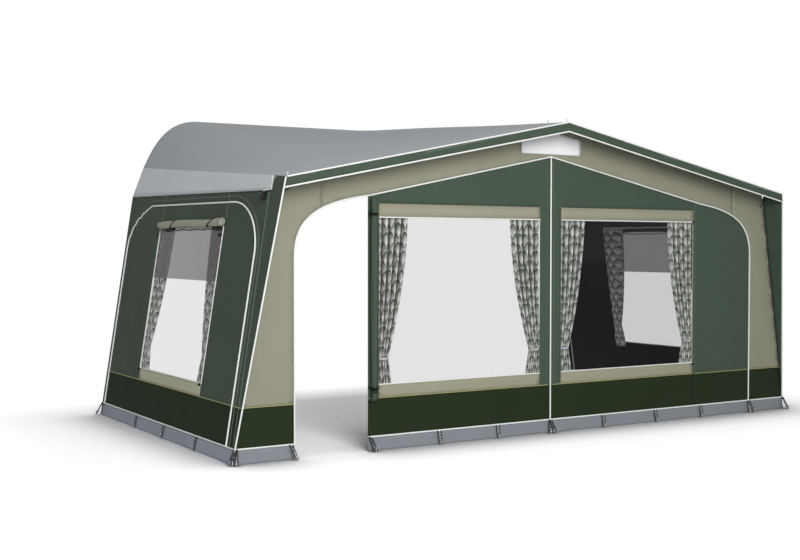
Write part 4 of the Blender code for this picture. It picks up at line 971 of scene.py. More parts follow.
def make_mud_walls():
    foot, head = front_edge(0), front_edge(HEM)
    cut = dict(lining=MUD, spacing=0.03, fade=0.03, held="hung")
    runs = {
        "mud_wall_corner_left": [(-foot, 0.001), (-ARCH_HALF, 0.001), (-ARCH_HALF, HEM), (-head, HEM)],
        "mud_wall_front_left": rectangle(-PANEL_EDGE, 0, 0.001, HEM),
        "mud_wall_front_right": [(0, 0.001), (foot, 0.001), (head, HEM), (0, HEM)],
    }
    for number, (name, outline) in enumerate(runs.items()):
        place = mud_place(front_place, number)
        sew_plain(name + "_cloth", SHELL, [name], "mud_wall_cloth", outline, MUD, place, **cut)
    for side, label in SIDES:
        name, place = "mud_wall_side_" + label, mud_place(SIDE_PLACE[side], 4 + side)
        outline = on_side(side, [(0, 0.001), (REAR_EDGE, 0.001), (REAR_EDGE, HEM), (0, HEM)])
        # the side mud walls take the painted-light copy of the mud grey
        sew_plain(name + "_cloth", SHELL, [name], "mud_wall_cloth", outline, SIDE_MUD_PAINTED_LIGHT, place, **cut)


make_mud_walls()

# %% [markdown]
# Windows are clear vinyl film sewn behind the hole in the panel. The upper half of each side window
# is tinted. The film is a sheet like the cloth, so the same cutter makes it, a little behind.

# %% Window films
FILM_HEM = 0.012
TINT_FOOT = 1.172                 # the tinted half of a side window starts at this height


def make_films():
    cut = dict(lining=FILM, thickness=0.0005, layer=-0.0022, swell=0.8, spacing=0.05)
    for label, (x0, x1) in FRONT_WINDOWS.items():
        hem = rectangle(x0 - FILM_HEM, x1 + 0.010, SILL - FILM_HEM, WINDOW_TOP + FILM_HEM)
        sew_plain(
            "film_front_" + label, "front_panel_" + label, ["window_film_front_" + label], "window_film",
            hem, FILM, front_place, rests_on=["front_panel_%s_cloth" % label], **cut,
        )
    for side, label in SIDES:
        x0, x1, bottom, top = side_window(side)
        middle = side_flat(side, 1.4, TINT_FOOT)[1]
        low = rectangle(x0 - FILM_HEM, x1 + FILM_HEM, bottom - FILM_HEM, middle)
        high = rectangle(x0 - FILM_HEM, x1 + FILM_HEM, middle, top + FILM_HEM)
        sew_cloth(
            "film_side_" + label, "side_door_" + label, ["window_film_side_" + label], "window_film",
            [([low], []), ([high], [])], [FILM, TINT], SIDE_PLACE[side],
            [rectangle(x0, x1, bottom, top)], rests_on=["side_door_%s_cloth" % label], **cut,
        )


make_films()

# %% [markdown]
# Curtains hang in pleats from a slim rail inside each window and are gathered by a tie into a waist,
# below which they open out again. The curtain is a grid: columns run through the pleats and rows run
# down the cloth. The outer edge hangs straight and the inner edge sweeps in to the tie, as a drawn
# curtain does. The UV map counts real cloth, so the printed leaves shrink into the folds. The tie
# is a closed band, and so are the ties and straps of everything that is rolled up.

# %% Curtains
CURTAIN_PLEATS, PLEAT_COLUMNS = 5, 18
CURTAIN_WIDTH, CURTAIN_WAIST, CURTAIN_HEM = 0.270, 0.098, 0.128
PLEAT_DEPTH = 0.030


def curtain_places():
    """For each curtain body: its wall, the window edge beside it, the way inwards, bottom and top of
    the window, a number that varies the folds, and the way out of the wall."""
    places = {}
    for label, (x0, x1) in FRONT_WINDOWS.items():
        for edge, sign in ((x0, 1), (x1, -1)):
            name = "curtain_front_%s_%s" % (label, "outer" if (label == "left") == (sign > 0) else "inner")
            places[name] = (front_place, edge, sign, SILL, WINDOW_TOP, edge * 3, FRONT_OUT)
    for side, label in SIDES:
        x0, x1, bottom, top = side_window(side)
        ends = (("front", 1, 2.0), ("rear", -1, 5.0))
        for (end, way, seed), edge in zip(ends, (x0, x1) if side > 0 else (x1, x0)):
            places["curtain_side_%s_%s" % (label, end)] = (
                SIDE_PLACE[side], edge, way * side, bottom, top, seed + side, SIDE_AXES[side][2],
            )
    return places


def make_band(name, body, rings, material):
    """A closed flat band through rings of points."""
    faces = grid_faces(len(rings), len(rings[0]), closed=True)
    band = new_piece(name, body, [point for ring in rings for point in ring], faces, [material])
    thicken(band, 0.0012, 1)


def curtain_shape(fall_height, head, waist, hem):
    """Width of the curtain and how tight it is gathered, at a height."""
    if fall_height >= waist:
        fall = (head - fall_height) / (head - waist)
        return lerp(CURTAIN_WIDTH, CURTAIN_WAIST, fall**1.8), 1 - 0.25 * fall**3
    fall = (waist - fall_height) / (waist - hem)
    return lerp(CURTAIN_WAIST, CURTAIN_HEM, math.sin(fall * math.pi / 2)), 0.75 + 0.25 * fall


def make_curtain(name, place, outer, sign, bottom, top, seed):
    """A curtain hanging inside a window; outer is the window edge beside it, sign points inwards."""
    head, hem, waist = top + 0.0395, bottom - 0.041, bottom + 0.179
    start = outer - sign * 0.012
    count = CURTAIN_PLEATS * PLEAT_COLUMNS + 1
    heights = np.concatenate([np.linspace(head, waist, 46), np.linspace(waist, hem, 19)[1:]])
    points, painted_fold_shade = [], []
    for height in heights:
        width, depth = curtain_shape(height, head, waist, hem)
        fall = (head - height) / (head - hem)
        for share in (column / (count - 1) for column in range(count)):
            wander = 0.010 * math.sin(3.1 * share * 6 + seed) * fall
            wander += 0.006 * math.sin(9 * fall + seed + share * 5)
            turn = math.pi * CURTAIN_PLEATS * (share + wander * rise_and_fall(share))
            edge = min(1.0, 12 * share, 12 - 12 * share)
            # painted shade: how strongly the material darkens the valley of a pleat at this point
            painted_fold_shade.append(edge * abs(math.cos(turn)) ** 5)
            pleat = PLEAT_DEPTH * depth * (0.85 + 0.15 * math.sin(7 * share + seed + 4 * fall))
            spread = 0.22 / CURTAIN_PLEATS * math.sin(2 * turn) * rise_and_fall(min(1, fall * 1.5)) * 0.35
            x = start + sign * width * min(1.0, max(0.0, share + spread))
            points.append(place(x, height, -0.0052 - abs(math.cos(turn)) ** 4.5 * pleat))
    row = points[4 * count:5 * count]
    along = np.concatenate([[0], np.cumsum([(b - a).length for a, b in zip(row, row[1:])])]).tolist()
    order = (0, 3, 2, 1) if sign > 0 else (1, 2, 3, 0)       # the right side of the cloth faces out
    faces = [tuple(face[k] for k in order) for face in grid_faces(len(heights), count)]
    uvs = [(along[v % count], heights[v // count]) for face in faces for v in face]
    piece = new_piece(
        name + "_cloth", name, points, faces, [CURTAIN_WITH_PAINTED_FOLD_SHADE, CURTAIN_BACK], uvs=uvs, sharp=80
    )
    # the painted fold shade is stored on the mesh as its fold attribute
    piece.data.attributes.new("fold", "FLOAT", "POINT").data.foreach_set("value", painted_fold_shade)
    thicken(piece, 0.0008, lining=1)
    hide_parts(name)
    rings = []
    for rise, wide in ((-0.0085, 0.0), (0.0, 0.0012), (0.0085, 0.0)):
        ring = []
        for angle in (2 * math.pi * number / 28 for number in range(28)):
            x = start + sign * CURTAIN_WAIST / 2 + (CURTAIN_WAIST / 2 + 0.003 + wide) * math.cos(angle)
            out = -0.018 + (0.0145 + wide) * math.sin(angle) * (1 + 0.06 * math.cos(5 * angle))
            ring.append(place(x, waist + rise + 0.004 * math.cos(angle + seed), out))
        rings.append(ring)
    make_band(name + "_tie", name, rings, WHITE_TAPE)


CURTAINS = curtain_places()
for curtain, (*where, _) in CURTAINS.items():
    make_curtain(curtain, *where)

# %% [markdown]
# The left door is rolled up and tied beside its panel. A rolled door is a spiral: the cloth winds
# round itself from the middle out, each turn lying a little outside the last. The spiral is drawn
# flat in cross section and swept up the roll, with loose folds, and drawn in where the ties hold it.
# The side windows' blinds are rolled in the same way, lying down and pressed flatter.

# %% Rolled door and rolled blinds
def make_spiral(name, body, material, turns, rings, ring_place, flat, inner=0.18):
    """A rolled sheet; ring_place(share along, angle, radius share) gives each point."""
    steps = int(turns * 26)
    points = []
    for ring in range(rings + 1):
        for share in (step / steps for step in range(steps + 1)):
            points.append(ring_place(ring / rings, 2 * math.pi * turns * share, lerp(inner, 1.0, share**0.92)))
    faces, columns = grid_faces(rings + 1, steps + 1), steps + 1
    uvs = [(flat[0] * (v % columns) / steps, flat[1] * (v // columns) / rings) for face in faces for v in face]
    piece = new_piece(name + "_cloth", body, points, faces, [material], uvs=uvs, sharp=70)
    thicken(piece, 0.0009, 0)
    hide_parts(name)
    print(name, len(faces), "faces,", turns, "turns")


DOOR_ROLL = (-1.578, 0.362, 1.752, 0.031)       # middle, bottom, top, radius
DOOR_TIES = (0.440, 1.640)
DOOR_ROLL_OUT = 0.0345                           # roll axis in front of the wall


def door_roll_point(share, angle, radius):
    middle, bottom, top, reach = DOOR_ROLL
    height = lerp(bottom, top, share)
    nearest = min(abs(height - tie) for tie in DOOR_TIES)
    pinch = 1 - 0.26 * math.exp(-(nearest / 0.050) ** 2)
    fold = 1 + 0.06 * math.cos(3 * angle + 5 * share)
    fold += 0.05 * math.cos(5 * angle - 3 * share) * math.sin(9 * share)
    fold += 0.035 * math.cos(2 * angle + 17 * share) * math.sin(21 * share + angle)
    size = reach * pinch * fold * radius
    return front_place(
        middle + size * math.cos(angle) * 0.98, height + 0.010 * math.cos(angle) * (1 - share),
        DOOR_ROLL_OUT - 0.002 + size * math.sin(angle) * 0.96,
    )


make_spiral(
    "door_roll_left", "front_panel_left", GREEN, 5.2, 76, door_roll_point, (0.60, 1.39)
)

BLIND_STRAPS = (0.925, 1.675)
BLIND_ENDS, BLIND_HEIGHT = (0.700, 2.000), 1.585


def blind_roll_shape(side):
    place = SIDE_PLACE[side]

    def point(share, angle, radius):
        back = lerp(*BLIND_ENDS, share)
        nearest = min(abs(back - strap) for strap in BLIND_STRAPS)
        pinch = 1 - 0.16 * math.exp(-(nearest / 0.060) ** 2)
        taper = 1 - 0.30 * max(0.0, (share - 0.86) / 0.14) ** 2
        sag = 0.003 * math.cos(share * math.pi * 3.4)
        x, y = side_flat(side, back, BLIND_HEIGHT)
        size = radius * pinch * taper * (1 + 0.05 * math.cos(2 * angle + 11 * share) * math.sin(7 * share))
        out = 0.018 + 0.0160 * size * math.sin(angle) * -side
        return place(x, y + sag + 0.030 * size * math.cos(angle), out)

    return point


for wall_side, wall_label in SIDES:
    make_spiral(
        "blind_roll_" + wall_label, "side_door_" + wall_label, BLIND_PALER_CLOTH_AND_PAINTED_LIGHT, 11.5, 60,
        blind_roll_shape(wall_side), (1.10, 1.300), 0.10,
    )

# %% [markdown]
# Piping repeats along every seam of an awning, so Geometry Nodes makes it. A mesh of plain edges
# holds the paths, and each point also keeps the direction that faces out of the cloth. One tree
# turns the paths into a round cord. A second one walks along them with stitches, turned to lie on
# the surface.

# %% Geometry Nodes: trees for cord and stitches
class Tree:
    """A Geometry Nodes tree from paths to a mesh, with named inputs."""

    def __init__(self, name, inputs):
        self.group = bpy.data.node_groups.new(name, "GeometryNodeTree")
        face = self.group.interface
        face.new_socket("Paths", in_out="INPUT", socket_type="NodeSocketGeometry")
        for label, kind, value in inputs:
            socket = face.new_socket(label, in_out="INPUT", socket_type="NodeSocket" + kind)
            if value is not None:
                socket.default_value = value
        face.new_socket("Mesh", in_out="OUTPUT", socket_type="NodeSocketGeometry")
        self.start = self.group.nodes.new("NodeGroupInput").outputs
        self.end = self.group.nodes.new("NodeGroupOutput").inputs

    def node(self, kind, inputs=None, **settings):
        return add_node(self.group, kind, inputs, **settings)

    def named(self, name, data_type):
        return self.node("GeometryNodeInputNamedAttribute", {"Name": name}, data_type=data_type).outputs[0]

    def facing(self, axis, vector=None, **settings):
        """A rotation that turns an axis to a vector, which is the way out of the cloth if not given."""
        rotation = settings.pop("rotation", None)
        inputs = {"Vector": vector or self.named("outward", "FLOAT_VECTOR")}
        if rotation:
            inputs["Rotation"] = rotation
        return self.node("FunctionNodeAlignRotationToVector", inputs, axis=axis, **settings).outputs[0]

    def copies(self, points, shape, rotation):
        inputs = {"Points": points, "Instance": shape, "Rotation": rotation}
        return self.node("GeometryNodeInstanceOnPoints", inputs).outputs[0]

    def finish(self, geometry, smooth=True, marked=None):
        """End the tree; marked is an input material for the faces that carry the mark attribute."""
        realized = self.node("GeometryNodeRealizeInstances", {0: geometry}).outputs[0]
        shaded = self.node("GeometryNodeSetShadeSmooth", {0: realized, "Shade Smooth": smooth}).outputs[0]
        inputs = {0: shaded, "Material": self.start["Material"]}
        painted = self.node("GeometryNodeSetMaterial", inputs).outputs[0]
        if marked:
            inputs = {0: painted, "Selection": self.named("mark", "BOOLEAN"), "Material": self.start[marked]}
            painted = self.node("GeometryNodeSetMaterial", inputs).outputs[0]
        self.group.links.new(painted, self.end[0])
        return self.group


def cord_tree():
    tree = Tree("cord_along_paths", [
        ("Radius", "Float", 0.005), ("Sides", "Int", 8), ("Material", "Material", None),
    ])
    curve = tree.node("GeometryNodeMeshToCurve", {0: tree.start["Paths"]}).outputs[0]
    inputs = {"Resolution": tree.start["Sides"], "Radius": tree.start["Radius"]}
    ring = tree.node("GeometryNodeCurvePrimitiveCircle", inputs).outputs[0]
    inputs = {"Curve": curve, "Profile Curve": ring, "Fill Caps": True}
    return tree.finish(tree.node("GeometryNodeCurveToMesh", inputs).outputs[0])


def stitch_tree():
    tree = Tree("stitches_along_paths", [
        ("Pitch", "Float", 0.009), ("Length", "Float", 0.006), ("Width", "Float", 0.0016),
        ("Height", "Float", 0.0008), ("Material", "Material", None),
    ])
    curve = tree.node("GeometryNodeMeshToCurve", {0: tree.start["Paths"]}).outputs[0]
    inputs = {"Curve": curve, "Length": tree.start["Pitch"]}
    points = tree.node("GeometryNodeCurveToPoints", inputs, mode="LENGTH")
    turned = tree.facing("Z", rotation=tree.facing("X", points.outputs["Tangent"]), pivot_axis="X")
    size = {number: tree.start[label] for number, label in enumerate(("Length", "Width", "Height"))}
    size = tree.node("ShaderNodeCombineXYZ", size).outputs[0]
    stitch = tree.node("GeometryNodeMeshCube", {"Size": size}).outputs[0]
    return tree.finish(tree.copies(points.outputs[0], stitch, turned), smooth=False)


CORD_TREE, STITCH_TREE = cord_tree(), stitch_tree()


def path_mesh(name, paths):
    """Paths of (place, outward) points as a mesh of edges."""
    points, edges, outs = [], [], []
    for path in paths:
        first = len(points)
        points += [place for place, out in path]
        outs += [component for place, out in path for component in out]
        edges += [(k, k + 1) for k in range(first, len(points) - 1)]
    mesh = bpy.data.meshes.new(name)
    mesh.from_pydata(points, edges, [])
    mesh.attributes.new("outward", "FLOAT_VECTOR", "POINT").data.foreach_set("vector", outs)
    return mesh


def grow(name, body, tree, paths, finish_slot=None, **values):
    """Run a tree over paths and keep its result as a plain mesh that rides on a body."""
    item = add_object(name, path_mesh(name, paths))
    modifier = item.modifiers.new("grow", "NODES")
    modifier.node_group = tree
    for socket in tree.interface.items_tree:
        label = socket.name.replace(" ", "_")
        if socket.in_out == "INPUT" and label in values:
            modifier[socket.identifier] = values[label]
    settle(item)
    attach(item, body)
    print(name, len(item.data.polygons), "faces")
    return item


# %% [markdown]
# White piping runs round the front arch, down the middle, along both edges of the canopy's valance,
# down the storm wings, round the side doors and along the top of the mud wall. A brighter copy, with
# painted light for the shaded side walls, runs round the side arches. Straw-coloured piping runs along
# the top of the kick band; it sits on the cloth and stays out of the lining. Every path is written once,
# on the body that carries it, and stops short of the zips, so that an open panel or door swings clear.

# %% Piping paths
def front_path(route, out=0.002, folder=front_place):
    return [(folder(x, z, out), FRONT_OUT) for x, z in route]


def side_path(side, route, out=0.002):
    place, outward = SIDE_PLACE[side], SIDE_AXES[side][2]
    return [(place(*side_flat(side, back, height), out), outward) for back, height in route]


def flat_path(side, route, out=0.002):
    place, outward = SIDE_PLACE[side], SIDE_AXES[side][2]
    return [(place(x, y, out), outward) for x, y in route]


def between(start, end, spacing=0.05):
    steps = max(1, round(math.dist(start, end) / spacing))
    return [tuple(lerp(a, b, k / steps) for a, b in zip(start, end)) for k in range(steps + 1)]


def level(x0, x1, height):
    return between((x0, height), (x1, height))


FRONT_ARCH = between((ARCH_HALF, HEM), (ARCH_HALF, ARCH_SPRING))[:-1] + FRONT_CORNER
FRONT_ARCH += between(ARCH_SHOULDER, (0, ARCH_APEX))[1:]
WHOLE_ARCH = FRONT_ARCH + [(-x, z) for x, z in reversed(FRONT_ARCH)][1:]


def side_arch_path():
    """The side arch's piping, which puckers a little round its rear corner."""
    route = side_arch_route()
    wavy = []
    for back, height in route[1:-1]:
        reach = max(0.0, 1 - abs(back - 2.56) / 0.22)
        aside, up = 0.012 * reach * math.sin(height * 90), 0.013 * reach * math.sin(back * 70)
        wavy.append((back + aside, height + up))
    return between(route[0], route[1]) + wavy[1:] + between(route[-2], route[-1])[1:]


def shell_piping():
    tip, peak = canopy_top(CANOPY_HALF), canopy_top(0)
    paths = [front_path(WHOLE_ARCH, 0.0025), front_path(between((0, HEM), (0, ARCH_APEX)), 0.003)]
    for drop, flare in ((0.001, 1.0), (VALANCE - 0.002, VALANCE_FLARE)):
        for side, _ in SIDES:
            start = (side * (CANOPY_HALF * flare + 0.003), tip - drop)
            paths.append(front_path(between(start, (0, peak - drop)), 0.001, canopy_place))
    paths.append(front_path(level(-BASE_FRONT + LEAN * HEM, -ARCH_HALF, HEM), 0.003))
    paths.append(front_path(level(-PANEL_EDGE, BASE_FRONT - LEAN * HEM, HEM), 0.003))
    wing_edge = between((0, HEM), (-OVERHANG + 0.003, EAVES - 0.006 - FOLD_SLOPE * OVERHANG))
    for side, _ in SIDES:
        folder = wing_folder(side, WING_PIPING_FLARE)
        paths.append([(folder(x, y, 0.001), SIDE_AXES[side][2]) for x, y in on_side(side, wing_edge)])
        paths.append(side_path(side, level(0, DEPTH - 0.006, HEM), 0.003))
    return paths


HINGE_ROOM = 0.024                # raised trim stops this far from the zip between the two panels
ZIP_ROOM = 0.010                  # and this far from the right door's zip


def kick_lines():
    """The top of the kick band on each body that it crosses."""
    spans = {
        "front_panel_left": (-PANEL_EDGE, -HINGE_ROOM), "front_panel_right": (HINGE_ROOM, DOOR_SEAM - ZIP_ROOM),
        "front_door_right": (DOOR_SEAM + ZIP_ROOM, ARCH_HALF - 0.005),
    }
    lift = 0.0028
    lines = {SHELL: []} | {body: [front_path(level(*span, KICK), lift)] for body, span in spans.items()}
    for side, label in SIDES:
        lines[SHELL] += [
            front_path(level(side * ARCH_HALF, side * front_edge(KICK), KICK), lift),
            side_path(side, level(0, SIDE_FOOT_FRONT - 0.004, KICK), lift),
            side_path(side, level(SIDE_FOOT_REAR + 0.011, DEPTH - 0.006, KICK), lift),
        ]
        door_line = level(SIDE_FOOT_FRONT - 0.001, SIDE_FOOT_REAR - 0.015, KICK)
        lines["side_door_" + label] = [side_path(side, door_line, lift)]
    return lines


def window_lines():
    """The edges of the windows that have piping, on each panel and side door."""
    lines = {}
    for label, (x0, x1) in (("left", FRONT_WINDOWS["left"]), ("right", (0.104, 1.505))):
        lines["front_panel_" + label] = [front_path(level(x0, x1, z)) for z in (SILL, WINDOW_TOP)]
    for side, label in SIDES:
        x0, x1, bottom, top = side_window(side)
        edges = level(x0, x1, bottom), between((x0, bottom), (x0, top)), between((x1, bottom), (x1, top))
        lines["side_door_" + label] = [flat_path(side, edge) for edge in edges]
    return lines


side_arches = [side_path(side, side_arch_path(), 0.003) for side, _ in SIDES]
grow("piping_shell", SHELL, CORD_TREE, shell_piping(), "bead_cord", Radius=0.0058, Material=PIPING)
# the side arches take the painted-light copy of the white piping
grow(
    "piping_side_arches", SHELL, CORD_TREE, side_arches, "bead_cord", Radius=0.0066, Material=PIPING_SIDE_PAINTED_LIGHT
)
for carrier, lines in kick_lines().items():
    name = "kick_piping_" + carrier
    grow(name, carrier, CORD_TREE, lines, Radius=0.0032, Sides=6, Material=PIPING_YELLOW)
for carrier, lines in window_lines().items():
    name = "window_piping_" + carrier
    grow(name, carrier, CORD_TREE, lines, "bead_cord", Radius=0.0045, Sides=8, Material=PIPING)

# %% [markdown]
# The bead is the round cord along the back edge that slides into an awning rail. It follows the
# roof's rear edge and runs down both walls.

# %% Rear bead
def bead_path():
    half = between((side_half(DEPTH, 0.012), 0.012), (side_half(DEPTH, SEAM_REAR), SEAM_REAR))
    half += [tuple(point) for point in zip(*(values.tolist() for values in rear_edge(np.linspace(0, 1, 60))))]
    route = [(x - 0.004, z - 0.004) for x, z in half]
    route = [(-x, z) for x, z in route] + list(reversed(route[:-1]))
    return [[(Vector((x, WALL_Y + REAR_EDGE, z)), Vector((0, 1, 0))) for x, z in route]]


bead = grow(
    "rail_bead_cord", SHELL, CORD_TREE, bead_path(), "bead_cord", Radius=0.004, Sides=10, Material=PIPING
)
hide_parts("rail_bead")

# %% [markdown]
# Each window's curtain rail is a slim white plastic profile with a slot under it. It is one cross
# section drawn once and pulled along the window.

# %% Curtain rails
RAIL_SECTION = [
    (-0.0020, 0.000), (-0.0020, 0.010), (-0.0250, 0.010), (-0.0250, 0.000),
    (-0.0215, 0.000), (-0.0215, 0.0025), (-0.0230, 0.0025), (-0.0230, 0.0080),
    (-0.0040, 0.0080), (-0.0040, 0.0025), (-0.0150, 0.0025), (-0.0150, 0.000),
]


def make_rail(label, body, place, x0, x1, top):
    count = len(RAIL_SECTION)
    points = [place(x, top + 0.040 + rise, out) for x in (x0 - 0.012, x1 + 0.012) for out, rise in RAIL_SECTION]
    faces = grid_faces(2, count, closed=True)
    faces += [tuple(range(count)), tuple(range(2 * count - 1, count - 1, -1))]
    new_piece("curtain_rail_" + label, body, points, faces, [RAIL], sharp=None)


for label, (low_x, high_x) in FRONT_WINDOWS.items():
    make_rail("front_" + label, "front_panel_" + label, front_place, low_x, high_x, WINDOW_TOP)
for wall_side, wall_label in SIDES:
    low_x, high_x, _, window_top = side_window(wall_side)
    make_rail("side_" + wall_label, "side_door_" + wall_label, SIDE_PLACE[wall_side], low_x, high_x, window_top)
print("four curtain rails")

# %% [markdown]
# An awning is held together by hundreds of small seams. A felled seam is two edges folded into each
# other and stitched, so it stands up a little from the cloth. Each one here is a slim cord half sunk
# in the cloth, with a row of stitches along its top from the stitch tree.

# %% Seams and stitches
SEAM_RADIUS = 0.0022
SEAM_LIFT = 0.0006                # a seam's middle line lies this far out of the wall
SIDE_WALL_SEAMS = (               # (back, height) of the two ends
    ((0.034, HEM + 0.01), (0.034, 1.782)), ((0.688, 1.744), (0.690, 1.790)),
    ((1.962, 1.758), (1.960, 1.808)),
)


def sew_seams(label, body, paths, material=SEAM_LIGHT, radius=SEAM_RADIUS):
    grow("seam_" + label, body, CORD_TREE, paths, Radius=radius, Sides=6, Material=material)
    raised = [[(place + out * radius, out) for place, out in path] for path in paths]
    grow("stitches_" + label, body, STITCH_TREE, raised, Material=material)


def outside_arch(aside=0.045, above=0.040):
    """The seam round a side door's arch, a little outside its piping all the way."""
    route = side_arch_route()
    seam = [(route[0][0] - aside, HEM + 0.01)]
    for before, here, after in zip(route, route[1:], route[2:]):
        run, rise = after[0] - before[0], after[1] - before[1]
        size = math.hypot(run, rise)
        seam.append((here[0] - aside * rise / size, here[1] + above * run / size))
    return seam + [(route[-1][0] + aside, HEM + 0.01)]


def seams_of_shell():
    """Seams of the side walls, of the gable and along the eaves."""
    walls, gable, eaves = [], [], []
    for side, _ in SIDES:
        walls.append(side_path(side, outside_arch(), SEAM_LIFT))
        walls += [side_path(side, between(*ends), SEAM_LIFT) for ends in SIDE_WALL_SEAMS]
        for x in (0.292, BAND_SEAM[0]):
            top, foot = under_roof(x) - 0.004, arch_at(x) + 0.006
            gable.append(front_path(between((side * x, top), (side * x, foot)), SEAM_LIFT))
        # a seam along the eaves, coloured as a painted shadow line
        eave = between((0.01, SEAM_FRONT - 0.006), (DEPTH - 0.01, SEAM_REAR - 0.006))
        eaves.append(side_path(side, eave, 0.001))
    return walls, gable, eaves


wall_seams, gable_seams, eaves_seams_painted_shadow = seams_of_shell()
sew_seams("shell", SHELL, wall_seams)
sew_seams("gable", SHELL, gable_seams, SEAM_BEIGE, 0.003)
# the eaves seam is near black: a painted shadow line under the roof's edge
sew_seams("eaves", SHELL, eaves_seams_painted_shadow, EAVES_SEAM_PAINTED_SHADOW, 0.003)

FRONT_SEAMS = {                   # level ones by their ends, upright ones by their place and top
    "front_panel_left": ([(-0.104, -HINGE_ROOM)], [(-0.100, 1.716), (-0.034, 2.06), (-1.530, 1.72)]),
    "front_panel_right": (
        [(HINGE_ROOM, 0.104)], [(0.034, 2.06), (0.076, 1.716), (0.097, 1.716), (1.512, 1.78)],
    ),
    "front_door_right": ([], [(1.530, 1.77), (2.166, 1.34)]),
}
for carrier, (levels, uprights) in FRONT_SEAMS.items():
    routes = [level(*ends, STRIP + 0.002) for ends in levels]
    routes += [between((x, KICK), (x, top)) for x, top in uprights]
    sew_seams(carrier, carrier, [front_path(route, SEAM_LIFT) for route in routes], SEAM_DULL)

SIDE_DOOR_SEAMS = (
    ((0.700, 1.622), (0.689, 1.714)), ((1.978, 1.626), (1.965, 1.730)),
    ((0.712, KICK), (0.714, 0.456)), ((1.992, KICK), (1.991, 0.456)),
)
for wall_side, wall_label in SIDES:
    routes = [side_path(wall_side, between(*ends), SEAM_LIFT) for ends in SIDE_DOOR_SEAMS]
    sew_seams("side_door_" + wall_label, "side_door_" + wall_label, routes)

# %% [markdown]
# The mud wall is pegged down through rubber ladders: soft straps with a row of holes, so that a peg
# fits whatever the ground is like. One tree builds a ladder from two rails and a column of rungs,
# leans it outwards and stands it at every point. Corners carry three of them. A bent wire peg holds
# the foot of each one.

# %% Geometry Nodes: rubber ladders and studs
def ladder_tree():
    tree = Tree("ladders_at_points", [
        ("Length", "Float", 0.100), ("Width", "Float", 0.026), ("Bar", "Float", 0.0080), ("Rungs", "Int", 5),
        ("Lean", "Float", 0.30), ("Material", "Material", None), ("Rung Material", "Material", None),
    ])
    length, width, bar = (tree.start[label] for label in ("Length", "Width", "Bar"))

    def maths(operation, first, second):
        return tree.node("ShaderNodeMath", {0: first, 1: second}, operation=operation).outputs[0]

    def vector(x, y, z):
        return tree.node("ShaderNodeCombineXYZ", {0: x, 1: y, 2: z}).outputs[0]

    half_down = maths("MULTIPLY", length, -0.5)
    rail = tree.node("GeometryNodeMeshCube", {"Size": vector(bar, 0.0035, length)}).outputs[0]
    rails = []
    for direction in (-0.5, 0.5):
        place = vector(maths("MULTIPLY", width, direction), 0.0, half_down)
        rails.append(tree.node("GeometryNodeTransform", {0: rail, "Translation": place}).outputs[0])
    pitch = maths("DIVIDE", length, maths("MULTIPLY", tree.start["Rungs"], -1.0))
    line = tree.node("GeometryNodeMeshLine", {
        "Count": tree.start["Rungs"], "Start Location": vector(0.0, 0.0, maths("MULTIPLY", pitch, 0.5)),
        "Offset": vector(0.0, 0.0, pitch),
    }).outputs[0]
    rung = tree.node("GeometryNodeMeshCube", {"Size": vector(width, 0.003, bar)}).outputs[0]
    inputs = {0: rung, "Name": "mark", "Value": True}
    rung = tree.node("GeometryNodeStoreNamedAttribute", inputs, data_type="BOOLEAN", domain="FACE").outputs[0]
    rungs = tree.node("GeometryNodeInstanceOnPoints", {"Points": line, "Instance": rung}).outputs[0]
    join = tree.node("GeometryNodeJoinGeometry")
    for part in (*rails, rungs):
        tree.group.links.new(part, join.inputs[0])
    lean = vector(tree.start["Lean"], 0.0, 0.0)
    ladder = tree.node("GeometryNodeTransform", {0: join.outputs[0], "Rotation": lean}).outputs[0]
    turned = tree.facing("Y", pivot_axis="Z")
    return tree.finish(tree.copies(tree.start["Paths"], ladder, turned), False, "Rung Material")


def stud_tree():
    tree = Tree("studs_at_points", [
        ("Radius", "Float", 0.010), ("Height", "Float", 0.007), ("Material", "Material", None),
    ])
    radius, height = tree.start["Radius"], tree.start["Height"]
    join = tree.node("GeometryNodeJoinGeometry")
    for wide, rise in ((1.0, 0.0), (0.62, 0.8)):
        across = tree.node("ShaderNodeMath", {0: radius, 1: wide}, operation="MULTIPLY").outputs[0]
        lift = tree.node("ShaderNodeMath", {0: height, 1: rise}, operation="MULTIPLY").outputs[0]
        place = tree.node("ShaderNodeCombineXYZ", {2: lift}).outputs[0]
        inputs = {"Vertices": 14, "Radius": across, "Depth": height}
        disc = tree.node("GeometryNodeMeshCylinder", inputs).outputs[0]
        moved = tree.node("GeometryNodeTransform", {0: disc, "Translation": place}).outputs[0]
        tree.group.links.new(moved, join.inputs[0])
    turned = tree.facing("Z")
    return tree.finish(tree.copies(tree.start["Paths"], join.outputs[0], turned), smooth=False)


LADDER_TREE, STUD_TREE = ladder_tree(), stud_tree()

# %% [markdown]
# Ladders stand where the photograph shows them, about half a metre apart and in fans at the corners.
# A peg is bent wire, so it could be modelled, but a short path through the cord tree makes it too.
# All the plain ladders are one piece and all the corner ones another, each with its own lean.

# %% Ladders and pegs
LADDER_TOP = HEM + 0.002
FRONT_LADDERS = (-1.02, -0.50, 0.53, 1.09, 1.60)
SIDE_LADDERS = (0.66, 1.30, 1.91)


def turned_out(direction, angle):
    return Matrix.Rotation(angle, 3, "Z") @ direction


